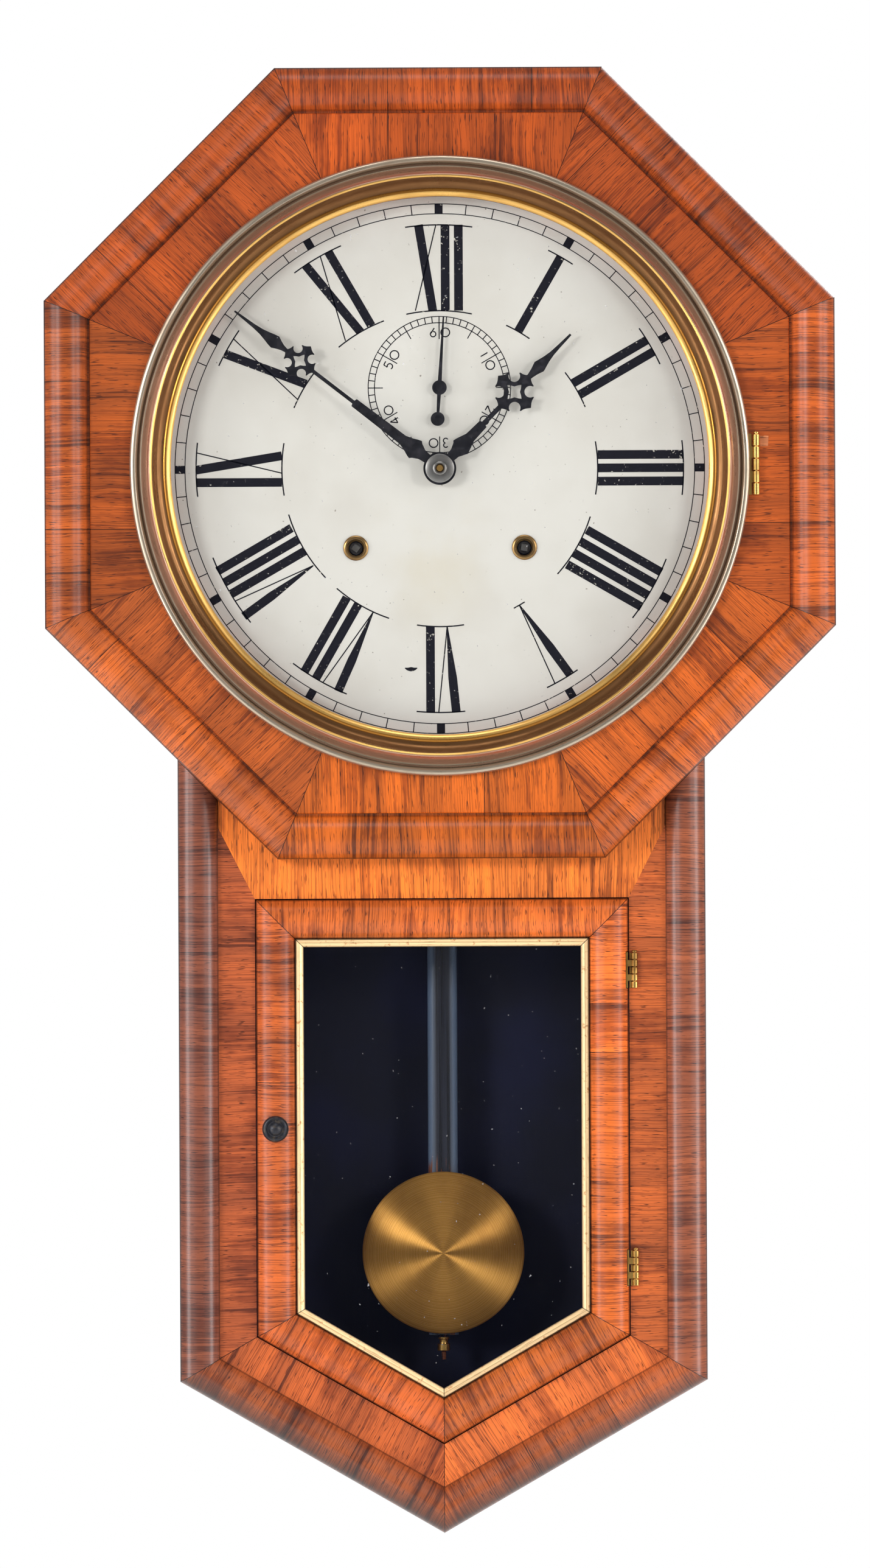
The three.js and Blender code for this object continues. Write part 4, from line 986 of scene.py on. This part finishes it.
def pane(outline, node, body):
    """A sheet of glass over an outline, with a small bevel round its edges."""
    low, high = extent(node)
    shape = bmesh.new()
    verts = [shape.verts.new(Vector((x, high.y, z)) * MM) for x, z in outline]
    face = shape.faces.new(verts)
    grown = bmesh.ops.extrude_face_region(shape, geom=[face])
    for vert in [item for item in grown["geom"] if isinstance(item, bmesh.types.BMVert)]:
        vert.co.y = low.y * MM
    bmesh.ops.recalc_face_normals(shape, faces=shape.faces[:])
    bmesh.ops.bevel(shape, geom=shape.edges[:], offset=0.2 * MM, segments=2, affect="EDGES")
    show(mesh_object("Glass." + node, shape, MATERIALS["glass"]), body, "glass", node)


# ---------------------------------------------------------------- bezel and dial


def bezel():
    """The hinged brass bezel. Each band is a run of (inset, y) points from the rim inward."""
    radius = BEZEL_RADIUS
    silver_highlight = srgb(196, 182, 162)
    dark = srgb(140, 112, 92)
    tan = srgb(206, 166, 142)
    brown = srgb(126, 88, 54)
    amber = srgb(190, 130, 56)
    gold = srgb(240, 190, 108)
    # The tints are lit and shaded copies of one brass: the silver and gold bands are painted highlights,
    # and the dark and brown bands are painted shade.
    bands = [
        (half_round(0, 4.4, -110.7, 2.8, 12), silver_highlight),
        ([(5.6, -110.9)], dark),
        ([(5.8, -112.2), (6.4, -112.7)], silver_highlight),
        ([(7.2, -114), (8.8, -117), (10.1, -120.6), (11, -121.6)], tan),
        ([(11.4, -121.8)], dark),
        ([(11.9, -121.9), (12.6, -121.4)], gold),
        ([(13.4, -119.9), (14.6, -117.8), (16, -116.4), (17.4, -115.8), (18.6, -115.6)], brown),
        ([(19.2, -116), (20.3, -116.1)], amber),
        ([(21.4, -115.7), (22.4, -115), (23, -114.2)], gold),
        ([(23, -113.3), (17.7, -113.3), (17.7, BEZEL_BACK), (0, BEZEL_BACK), (0, -110.7)], brown),
    ]
    profile, tints = [], []
    for points, colour in bands:
        profile += [(radius - inset, y) for inset, y in points]
        tints += [colour] * len(points)
    brass = MATERIALS["bezel_brass"]
    piece = lathe("Bezel", profile, (0, 0, BEZEL_Z), "Y", [brass], steps=288, tints=tints[1:])
    low, high = extent("bezel_hinge_leaf")
    cutter = ((163, -109.9, low.z - 0.3), (180, -107, high.z + 0.3))
    show(opened(piece, [cutter]), "bezel_door", "bezel_brass", "bezel")

    low, high = extent("bezel_glass")
    r = high.x
    ease = 0.3
    rounded = [
        (0, low.y),
        (r - ease, low.y),
        (r, low.y + ease),
        (r, high.y - ease),
        (r - ease, high.y),
        (0, high.y),
    ]
    disc = lathe("Bezel.Glass", rounded, (0, 0, BEZEL_Z), "Y", [MATERIALS["glass"]], steps=192)
    show(disc, "bezel_door", "glass", "bezel_glass")


class Print:
    """Flat printing a hair in front of the dial, drawn in (across, up) points from its middle."""

    def __init__(self):
        self.mesh = bmesh.new()
        self.y = DIAL_FRONT - 0.04

    def patch(self, points):
        corners = [Vector((x, self.y, z + DIAL_Z)) * MM for x, z in points]
        self.mesh.faces.new([self.mesh.verts.new(corner) for corner in corners])

    def line(self, start, end, width, end_width=None):
        """A straight stroke, that may taper to another width."""
        start, end = Vector(start), Vector(end)
        side = (end - start).normalized().orthogonal() / 2
        far = side * (width if end_width is None else end_width)
        near = side * width
        self.patch([start + near, start - near, end - far, end + far])

    def arc(self, centre, radius, start, end, width, steps=12):
        """A band round centre between two angles, clockwise from up, in degrees."""
        points = []
        for i in range(steps + 1):
            angle = math.radians(start + (end - start) * i / steps)
            points.append(Vector((math.sin(angle), math.cos(angle))))
        centre = Vector(centre)
        for first, second in zip(points, points[1:]):
            inner, outer = radius - width / 2, radius + width / 2
            ring = [first * inner, first * outer, second * outer, second * inner]
            self.patch([centre + point for point in ring])


def radial(angle, out, aside=0.0):
    """The point (x, z) at out along a clock angle in degrees, and aside of it clockwise."""
    turn = math.radians(angle)
    return (
        out * math.sin(turn) + aside * math.cos(turn),
        out * math.cos(turn) - aside * math.sin(turn),
    )


NUMERALS = ["I", "II", "III", "IIII", "V", "VI", "VII", "VIII", "IX", "X", "XI", "XII"]
CELL = {"I": 7.4, "V": 11.4, "X": 14.4}


def numeral(ink, text, angle):
    """A Roman numeral read with its top outward, between thin serif arcs."""
    aside = -sum(CELL[letter] for letter in text) / 2
    outer, inner = NUMERAL_OUTER, NUMERAL_INNER
    for letter in text:
        aside += CELL[letter] / 2
        if letter == "I":
            ink.line(radial(angle, outer, aside), radial(angle, inner, aside), THICK)
        elif letter == "V":
            knee = outer - 0.4 * (outer - inner)
            bend = aside - V_REACH * 0.6
            ink.line(radial(angle, outer, aside - V_REACH), radial(angle, knee, bend), THICK)
            ink.line(radial(angle, knee, bend), radial(angle, inner, aside), THICK, THIN)
            ink.line(radial(angle, outer, aside + V_REACH), radial(angle, inner, aside), THIN)
        else:
            for reach, width in ((-X_THICK_REACH, THICK), (X_THIN_REACH, THIN)):
                start = radial(angle, outer, aside + reach)
                ink.line(start, radial(angle, inner, aside - reach), width)
        aside += CELL[letter] / 2
    serif_arcs(ink, text, angle)


def serif_arcs(ink, text, angle):
    """The thin arcs along the tops and the feet of a numeral's strokes."""
    width = sum(CELL[letter] for letter in text)
    for radius, overhang in ((NUMERAL_OUTER, 4.2), (NUMERAL_INNER, 3.8)):
        if radius == NUMERAL_INNER and text == "V":
            width, overhang = 0, 3.6
        reach = math.degrees((width / 2 + overhang) / radius)
        ink.arc((0, 0), radius, angle - reach, angle + reach, THIN + 0.1, 8)


def digit(ink, character, place, height):
    """A round-shouldered digit with its top pointing out from the seconds dial's middle."""
    angle, out, aside = place
    r = height / 2
    small = height * 0.27
    width = DIGIT_LINE

    def at(x, z):
        return Vector(radial(angle, out + z, aside + x)) + Vector((0, SECONDS_Z))

    def bow(x, z, radius, start, end):
        ink.arc(at(x, z), radius, start + angle, end + angle, width, 16)

    if character == "0":
        bow(0, 0, r, 0, 360)
    elif character == "1":
        ink.line(at(0, 0.9 * r), at(0, -0.9 * r), width)
    elif character == "2":
        bow(0, r - small, small, -90, 130)
        ink.line(at(small * 0.77, r - small * 1.64), at(-small, -r), width)
        ink.line(at(-small, -r), at(small * 1.2, -r), width)
    elif character == "3":
        bow(0, small * 0.92, small * 0.92, -60, 170)
        bow(0, -small, small, 10, 240)
    elif character == "4":
        ink.line(at(small * 0.5, r), at(small * 0.5, -r), width)
        ink.line(at(small * 0.5, r), at(-small * 1.3, -r * 0.4), width)
        ink.line(at(-small * 1.3, -r * 0.4), at(small * 1.2, -r * 0.4), width)
    elif character == "5":
        ink.line(at(small, r), at(-small * 0.7, r), width)
        ink.line(at(-small * 0.7, r), at(-small * 0.9, r * 0.1), width)
        bow(0, -r + small * 1.15, small * 1.15, -50, 220)
    elif character == "6":
        bow(0, -r + small * 1.15, small * 1.15, 0, 360)
        ink.line(at(-small * 1.0, -r * 0.25), at(small * 0.5, r), width)


SECONDS_Z = middle("seconds_hand").z - DIAL_Z - 10.95


def seconds_dial(ink):
    centre = (0, SECONDS_Z)
    for radius in (SECONDS_OUTER, SECONDS_INNER):
        ink.arc(centre, radius, 0, 360, FINE_LINE, 120)
    for second in range(60):
        angle = 6 * second
        reach = SECONDS_OUTER - SECONDS_INNER
        if second % 5 == 0:
            reach = 8.2
        if second % 10 == 0:
            reach = 12.6
        outs = (SECONDS_OUTER, SECONDS_OUTER - reach)
        ends = [Vector(radial(angle, out)) + Vector(centre) for out in outs]
        ink.line(*ends, TICK)
    for tens in range(1, 7):
        for character, aside in ((str(tens), -3.4), ("0", 3.4)):
            digit(ink, character, (60 * tens, DIGIT_OUT, aside), DIGIT_HEIGHT)


def printing():
    ink = Print()
    for radius in (TRACK_OUTER, TRACK_INNER):
        ink.arc((0, 0), radius, 0, 360, FINE_LINE, 240)
    for minute in range(60):
        width = 4.5 if minute % 5 == 0 else TICK
        ink.line(radial(6 * minute, TRACK_INNER), radial(6 * minute, TRACK_OUTER), width)
    for hour, text in enumerate(NUMERALS, 1):
        numeral(ink, text, 30 * hour)
    seconds_dial(ink)
    for step in range(CHIP_SLICES):
        ends = [-CHIP_REACH + 2 * CHIP_REACH * (step + i) / CHIP_SLICES for i in (0, 1)]
        chip(ink, *ends)
    bmesh.ops.recalc_face_normals(ink.mesh, faces=ink.mesh.faces[:])
    for face in ink.mesh.faces:
        if face.normal.y > 0:
            face.normal_flip()
    show(mesh_object("Dial.Print", ink.mesh, INK), "case", "dial_paint")


def chip(ink, start, end):
    """A slice of the crescent chip in the paint, between two angles from straight down."""
    centre = Vector(CHIP_CENTRE)
    points = []
    for degrees, swell in ((start, 1), (end, 1), (end, 0), (start, 0)):
        angle = math.radians(degrees)
        depth = CHIP_DEPTH * math.cos(angle * 1.5) * (1 - swell)
        points.append(centre + Vector((math.sin(angle), -math.cos(angle))) * (CHIP_RADIUS - depth))
    ink.patch(points)


def dial():
    """A thin painted disc with its four holes, slightly rounded at its rim."""
    low, high = extent("dial")
    curve = bpy.data.curves.new("dial", "CURVE")
    curve.dimensions = "2D"
    curve.fill_mode = "BOTH"
    curve.extrude = (high.y - low.y) / 2 * MM - 0.0001
    curve.bevel_depth = 0.0001
    winding = middle("winding_grommet_right")
    winding_z = winding.z - DIAL_Z
    rim = (0, 0, DIAL_RADIUS - 0.1, 160)
    holes = [(0, 0, 6.2, 40), (0, SECONDS_Z, 2.4, 40)]
    holes += [(x, winding_z, 5.5, 40) for x in (winding.x, -winding.x)]
    for x, z, radius, steps in [rim, *holes]:
        angles = turn_angles(steps)
        spline(curve, [(x + radius * math.sin(a), z + radius * math.cos(a)) for a in angles])
    centre = (0, (low.y + high.y) / 2, DIAL_Z)
    piece = flat_piece("Dial", curve, centre, 0, MATERIALS["dial_paint"])
    show(piece, "case", "dial_paint", "dial")
    for side in ("left", "right"):
        grommet(side)


def turn_angles(count):
    return [2 * math.pi * i / count for i in range(count)]


def grommet(side):
    node = "winding_grommet_" + side
    low, high = extent(node)
    r = (high.x - low.x) / 2
    face = low.y
    profile = [
        (4.9, face + 2.5),
        (4.8, face + 0.5),
        (5.0, face + 0.1),
        (5.4, face),
        (6.2, face + 0.12),
        (r - 0.25, face + 0.5),
        (r, face + 0.85),
        (r - 0.2, face + 0.9),
        (5.2, face + 0.9),
        (5.2, face + 2.5),
        (4.9, face + 2.5),
    ]
    spot = middle(node)
    piece = lathe("Dial.Grommet." + side, profile, (spot.x, 0, spot.z), "Y", [WORN_BRASS], steps=64)
    show(piece, "case", "brass", node)


def spline(curve, points):
    """A closed straight-sided spline through points, in millimetres."""
    line = curve.splines.new("POLY")
    line.points.add(len(points) - 1)
    for spot, (x, z) in zip(line.points, points):
        spot.co = (x * MM, z * MM, 0, 1)
    line.use_cyclic_u = True


def flat_piece(name, curve, centre, angle, material):
    """A flat curve stood up facing -y at centre and turned clockwise, then made into a mesh."""
    holder = bpy.data.objects.new(name + ".curve", curve)
    bpy.context.scene.collection.objects.link(holder)
    graph = bpy.context.evaluated_depsgraph_get()
    data = bpy.data.meshes.new_from_object(holder.evaluated_get(graph))
    bpy.data.objects.remove(holder)
    turn = math.radians(angle)
    shape = bmesh.new()
    shape.from_mesh(data)
    bmesh.ops.remove_doubles(shape, verts=shape.verts[:], dist=0.001 * MM)
    for vert in shape.verts:
        x, z, depth = vert.co
        vert.co = Vector((
            centre[0] * MM + x * math.cos(turn) + z * math.sin(turn),
            centre[1] * MM - depth,
            centre[2] * MM - x * math.sin(turn) + z * math.cos(turn),
        ))
    bmesh.ops.recalc_face_normals(shape, faces=shape.faces[:])
    shape.to_mesh(data)
    shape.free()
    data.name = name
    return add_object(name, data, material)


# ---------------------------------------------------------------- hands


def blade(profile):
    """The outline of a hand from (out, half width) points along its right side."""
    right = [(half, out) for out, half in profile]
    left = [(-half, out) for out, half in reversed(profile)]
    return right + left


def cross(out, size):
    """The four-lobed cross on a hand and its eye, at a distance out; size 1 is the hour hand's.

    A quarter starts at the notch's edge beside one lobe, goes round the notch and ends over the
    next lobe. The notch is more than half of a circle, which leaves a horn on both its sides.
    """
    notch, notch_radius = 6.2, 3.3
    horn, shoulder, nose = (9.9, 5.2), (10.9, 2.3), 12.7
    edge, eye = [], []
    for quarter in range(4):
        lobe = [(horn[0], -horn[1]), (10.2, -3.7), (shoulder[0], -shoulder[1]), (nose, 0)]
        lobe += [(x, -z) for x, z in reversed(lobe[:-1])]
        hollow = []
        for step in range(17):
            angle = math.radians(-15 - 15 * step)
            way = (math.cos(angle), math.sin(angle))
            hollow.append([notch + notch_radius * share for share in way])
        turn = quarter * math.pi / 2
        for x, z in lobe + hollow:
            across = x * math.cos(turn) - z * math.sin(turn)
            along = x * math.sin(turn) + z * math.cos(turn)
            edge.append((size * across, size * along + out))
        for step, reach in enumerate((5.6, 4.3, 3.5, 3.1, 3.5, 4.3)):
            angle = turn + step * math.pi / 12
            eye.append((size * reach * math.cos(angle), out + size * reach * math.sin(angle)))
    return edge, eye


def circle(radius, out=0.0, steps=40):
    return [(radius * math.sin(a), out + radius * math.cos(a)) for a in turn_angles(steps)]


def hand_part(name, outlines, front, thick, angle, centre):
    """A flat part of a hand with softly rounded edges; outlines inside the first are holes."""
    curve = bpy.data.curves.new(name, "CURVE")
    curve.dimensions = "2D"
    curve.fill_mode = "BOTH"
    curve.extrude = thick / 2 * MM - 0.00008
    curve.bevel_depth = 0.00008
    curve.bevel_resolution = 1
    for outline in outlines:
        spline(curve, outline)
    place = (centre[0], front + thick / 2, centre[1])
    return flat_piece(name, curve, place, angle, MATERIALS["blued_iron"])


def hand(name, node, body, lower, upper, cross_place, hub, angle):
    """A hand as three overlapping flat parts: its root with the hub, the cross and the tip."""
    front, back = extent(node)[0].y, extent(node)[1].y
    thick = back - front
    edge, eye = cross(*cross_place)
    rings = [circle(radius) for radius in hub]
    layers = [
        ("", [blade(lower)], 0.02),
        (".cross", [edge, eye], 0),
        (".tip", [blade(upper)], 0.02),
        (".hub", rings, -0.01),
    ]
    parts = [
        hand_part(name + suffix, outlines, front + sunk, thick - 2 * sunk, angle, (0, DIAL_Z))
        for suffix, outlines, sunk in layers
    ]
    show(joined(parts), body, "blued_iron", node)


def joined(parts):
    """Several mesh objects made into one, which keeps the first one's name."""
    shape = bmesh.new()
    for part in parts:
        shape.from_mesh(part.data)
    shape.to_mesh(parts[0].data)
    shape.free()
    for part in parts[1:]:
        bpy.data.objects.remove(part)
    return parts[0]


def hands():
    """The three hands, at the angles that the photo shows."""
    hour = (HOUR_ROOT, HOUR_TIP, (59.5, 1), (9.1, 4.9), HOUR_ANGLE)
    minute = (MINUTE_ROOT, MINUTE_TIP, (98.2, 0.8), (7, 2.9), MINUTE_ANGLE)
    hand("Hand.Hour", "hour_hand", "hour_pipe", *hour)
    hand("Hand.Minute", "minute_hand", "centre_arbor", *minute)
    low = extent("seconds_hand")[0]
    spot = (0, SECONDS_Z + DIAL_Z)
    layers = [
        ("", blade(SECONDS_NEEDLE), 0.7, 0.8),
        (".hub", circle(4), 0.66, 0.88),
        (".tail", circle(3.8, -17.5), 0.66, 0.88),
        (".pipe", circle(1.7), 0, 1.4),
    ]
    parts = [
        hand_part("Hand.Seconds" + suffix, [outline], low.y + sunk, thick, SECONDS_ANGLE, spot)
        for suffix, outline, sunk, thick in layers
    ]
    show(joined(parts), "escape_arbor", "blued_iron", "seconds_hand")
    hand_fixings()


def hand_fixings():
    low, high = extent("hand_washer")
    cap = [
        (2.2, high.y),
        (8, high.y),
        (8, low.y + 0.3),
        (7.6, low.y + 0.05),
        (4.4, low.y),
        (2.2, low.y),
        (2.2, high.y),
    ]
    washer = lathe("Hand.Washer", cap, (0, 0, DIAL_Z), "Y", [MATERIALS["steel"]], steps=64)
    show(washer, "centre_arbor", "steel", "hand_washer")
    low, high = extent("hand_nut")
    turned = [
        (2.2, high.y),
        (3.9, high.y),
        (4, high.y - 0.2),
        (4, low.y + 0.9),
        (3.7, low.y + 0.3),
        (3.2, low.y),
        (2.7, low.y + 0.05),
        (2.3, low.y + 0.6),
        (2.2, high.y),
    ]
    nut = lathe("Hand.Nut", turned, (0, 0, DIAL_Z), "Y", [MATERIALS["steel"]], steps=48)
    show(nut, "centre_arbor", "steel", "hand_nut")


# ---------------------------------------------------------------- door furniture and hinges


def knob():
    low, high = extent("door_knob")
    front = low.y
    seat = front + 6.4
    r = (high.x - low.x) / 2
    profile = [
        (0, high.y),
        (2.2, high.y),
        (2.2, seat - 0.4),
        (r * 0.8, seat - 0.4),
        (r * 0.95, seat - 0.8),
        (r, seat - 1.6),
        (r, seat - 3.2),
        (r * 0.96, seat - 4.3),
        (r * 0.88, seat - 5.1),
        (r * 0.8, seat - 5.3),
        (r * 0.72, seat - 4.8),
        (r * 0.62, seat - 4.2),
        (r * 0.52, seat - 4.3),
        (r * 0.42, seat - 5.0),
        (r * 0.32, seat - 5.9),
        (r * 0.16, seat - 6.3),
        (0, seat - 6.4),
    ]
    head = lathe("Door.Knob", profile, (KNOB_X, 0, KNOB_Z), "Y", [KNOB_BLACK], steps=72)
    button = bmesh.new()
    bmesh.ops.create_cube(button, size=MM)
    for vert in button.verts:
        x = KNOB_X * MM + vert.co.x * 10
        y = (high.y - 1.25) * MM + vert.co.y * 2.5
        z = (KNOB_Z + 9.5) * MM + vert.co.z * 25
        vert.co = Vector((x, y, z))
    bmesh.ops.bevel(button, geom=button.edges[:], offset=0.0006, segments=3, affect="EDGES")
    button.from_mesh(head.data)
    button.to_mesh(head.data)
    button.free()
    show(head, "door_latch", "black_lacquer", "door_knob")


def knuckle(x, y, low, high, radius):
    """A barrel of a hinge between two heights, with eased ends."""
    ease = 0.18
    profile = [
        (0.9, low),
        (radius - ease, low),
        (radius, low + ease),
        (radius, high - ease),
        (radius - ease, high),
        (0.9, high),
        (0.9, low),
    ]
    return lathe("knuckle", profile, (x, y, 0), "Z", [MATERIALS["brass"]], steps=40)


def bevelled_box(low, high, ease=0.15):
    """A brass plate between two corners, its edges eased."""
    shape = cuboid(low, high)
    bmesh.ops.bevel(shape, geom=shape.edges[:], offset=ease * MM, segments=2, affect="EDGES")
    return mesh_object("plate", shape, MATERIALS["brass"])


def leaf(node, body, axis, first, boxes):
    """A hinge leaf: every second knuckle of five, its plate and the webs between them."""
    x, y, z, height = axis
    pitch = height / KNUCKLES
    foot, top = z - height / 2, z + height / 2
    x0, x1, y1, y0 = boxes[0]
    parts = [bevelled_box((x0, y0, foot), (x1, y1, top))]
    for i in range(first, KNUCKLES, 2):
        low, high = foot + i * pitch, foot + (i + 1) * pitch - 0.45
        parts.append(knuckle(x, y, low, high, KNUCKLE_RADIUS))
        x0, x1, y0, y1 = boxes[1]
        parts.append(bevelled_box((x0, min(y0, y1), low), (x1, max(y0, y1), high), 0.1))
    if first == 0:
        pin = [(0, foot), (PIN_RADIUS, foot), (PIN_RADIUS, top), (1.5, top + 0.1)]
        tip = [(1.5, top + 0.7), (1.1, top + 1.1), (0, top + 1.2)]
        parts.append(lathe("pin", pin + tip, (x, y, 0), "Z", [MATERIALS["brass"]], steps=32))
    piece = joined(parts)
    piece.name = "Hinge." + node
    show(piece, body, "brass", node)


def hinges():
    """Each leaf's plate and webs as (x, x, y, y) spans: two door hinges and the bezel's."""
    case_spans = [(104.5, 105.4, -84.6, -93.2), (104.5, 107.2, -92.2, -95.2)]
    door_spans = [(102.6, 103.5, -84.6, -96.4), (102.6, 107.2, -95.3, -96.4)]
    for name, z in zip(("upper", "lower"), hinge_heights()):
        axis = (*DOOR_PIN, z, DOOR_HINGE_HEIGHT)
        leaf("case_hinge_leaf_" + name, "case", axis, 0, case_spans)
        leaf("door_hinge_leaf_" + name, "door", axis, 1, door_spans)
    case_spans = [(174.8, 177.2, -104.4, -107.8), (174.8, 177.2, -107, -110.5)]
    bezel_spans = [(164, 173.4, -108.6, -109.4), (172, 176, -108.8, -109.8)]
    axis = (*BEZEL_PIN, BEZEL_Z, BEZEL_HINGE_HEIGHT)
    leaf("case_bezel_leaf", "case", axis, 0, case_spans)
    leaf("bezel_hinge_leaf", "bezel_door", axis, 1, bezel_spans)


# ---------------------------------------------------------------- pendulum


def pendulum():
    low, high = extent("pendulum_bob")
    edge = low.y + 8
    profile = [(0, low.y)]
    steps = 24
    for i in range(1, steps + 1):
        share = i / steps
        profile.append(((BOB_RADIUS - 0.6) * share, low.y + 7.6 * share**2))
    profile += [(BOB_RADIUS - 0.15, edge), (BOB_RADIUS, edge + 0.6), (BOB_RADIUS, edge + 2.2)]
    profile += [(BOB_RADIUS - 6, high.y), (9, high.y), (9, edge + 3), (0, edge + 3)]
    piece = lathe("Pendulum.Bob", profile, (0, 0, BOB_Z), "Y", [SPUN_BRASS], steps=128)
    show(piece, "pendulum", "brass", "pendulum_bob")
    rod()
    nut()


def rod():
    """The flat rod, its front rounded, with the thread at its foot."""
    low, high = extent("pendulum_rod")
    half = high.x
    foot = low.z + 14
    section = []
    for i in range(17):
        angle = math.pi * (i / 16 - 0.5)
        section.append((half * math.sin(angle), high.y - 1 - (high.y - low.y - 1) * math.cos(angle) ** 0.7))
    section = [(-half + 0.4, high.y), *section, (half - 0.4, high.y), (-half + 0.4, high.y)]
    shell = Shell()
    grid = [[Vector((x, y, z)) for x, y in section] for z in (foot, high.z)]
    grains = [[(point.x, point.z) for point in row] for row in grid]
    shell.strip(grid, grains)
    for row in grid:
        points = [shell.mesh.verts.new(point * MM) for point in row[:-1]]
        shell.mesh.faces.new(points)
    bar = shell.finish("Pendulum.Rod", MATERIALS["black_lacquer"])
    thread = [(0, low.z)]
    turns = 28
    for i in range(turns * 2 + 1):
        thread.append((1.4 if i % 2 else 1.15, low.z + 14.5 * i / (turns * 2)))
    thread.append((0, thread[-1][1]))
    y = middle("rating_nut").y
    screw = lathe("thread", thread, (0, y, 0), "Z", [MATERIALS["black_lacquer"]], steps=24)
    show(joined([bar, screw]), "pendulum", "black_lacquer", "pendulum_rod")


def nut():
    low, high = extent("rating_nut")
    spot = middle("rating_nut")
    base = low.z
    profile = [
        (1.75, base),
        (3.4, base),
        (3.6, base + 0.3),
        (3.6, base + 3.7),
        (3.4, base + 4),
        (2.5, base + 4.1),
        (2.4, base + 5),
        (2.5, base + 6.3),
        (3.1, base + 6.5),
        (3.2, base + 6.8),
        (3.2, base + 7.5),
        (3.0, high.z),
        (1.75, high.z),
        (1.75, base),
    ]
    piece = lathe("Pendulum.Nut", profile, (spot.x, spot.y, 0), "Z", [MATERIALS["brass"]], steps=48)
    show(piece, "pendulum_nut", "brass", "rating_nut")


# ---------------------------------------------------------------- CAD nodes that stay


def slot_of(node):
    """The material slot of a CAD node that keeps its own mesh."""
    if node == "backboard":
        return "backboard_paint"
    if node.startswith("case_") or node == "movement_seat":
        return "case_wood"
    if node in ("gong", "time_mainspring", "strike_mainspring", "suspension_spring"):
        return "steel"
    if node in ("gong_base", "hammer"):
        return "blued_iron"
    if "arbor" in node:
        return "steel"
    return "brass"


def dress_frame():
    for name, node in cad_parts.items():
        if node.hide_render:
            continue
        slot = slot_of(name)
        node.data.materials.clear()
        node.data.materials.append(MATERIALS[slot])
        edges = node.modifiers.new("eased edges", "BEVEL")
        edges.width = 0.0004 if slot == "case_wood" or name == "backboard" else 0.00008
        edges.segments = 2
        edges.limit_method = "ANGLE"
        edges.angle_limit = math.radians(40)


# ---------------------------------------------------------------- stage


def area_light(name, place, size, power):
    """A rectangular light turned towards the clock."""
    data = bpy.data.lights.new(name, "AREA")
    data.shape = "RECTANGLE"
    data.size, data.size_y = size
    data.energy = power
    light = bpy.data.objects.new(name, data)
    light.location = place
    light.rotation_euler = (Vector(LIGHT_AIM) - Vector(place)).to_track_quat("-Z", "Y").to_euler()
    bpy.context.scene.collection.objects.link(light)


def studio():
    """The camera, the soft lights, a white surround and a pale floor."""
    data = bpy.data.cameras.new("Camera")
    data.sensor_width = 36
    data.lens = CAMERA_LENS
    camera = bpy.data.objects.new("Camera", data)
    camera.location = CAMERA_PLACE
    camera.rotation_euler = (math.radians(90), CAMERA_ROLL, 0)
    bpy.context.scene.collection.objects.link(camera)
    bpy.context.scene.camera = camera

    for light in LIGHTS:
        area_light(*light)

    world = bpy.data.worlds.new("Surround")
    bpy.context.scene.world = world
    world.use_nodes = True
    nodes, links = world.node_tree.nodes, world.node_tree.links
    shade = nodes["Background"]
    shade.inputs[0].default_value = (1, 1, 1, 1)
    seen = nodes.new("ShaderNodeLightPath")
    level = nodes.new("ShaderNodeMapRange")
    level.inputs["To Min"].default_value = SURROUND_LIGHT
    level.inputs["To Max"].default_value = 1.0
    links.new(seen.outputs["Is Camera Ray"], level.inputs["Value"])
    links.new(level.outputs[0], shade.inputs[1])

    floor_shape = bmesh.new()
    bmesh.ops.create_grid(floor_shape, x_segments=1, y_segments=1, size=4)
    paint = Shader("floor_paint", Roughness=0.8)
    cloud = paint.noise(paint.place(), 2, 3)
    paint.feed("Base Color", paint.mix(cloud, srgb(226, 226, 224), srgb(234, 234, 232)))
    paint.feed("Emission Color", (1, 1, 1, 1))
    paint.feed("Emission Strength", FLOOR_GLOW)
    floor = mesh_object("Floor", floor_shape, paint.material)
    floor.location = (0, 0, FLOOR_Z)
    bpy.context.scene.view_settings.view_transform = "Standard"


studio()
head_frame()
drop_frame()
drop_panel()
door()
bezel()
dial()
printing()
hands()
knob()
hinges()
pendulum()
dress_frame()
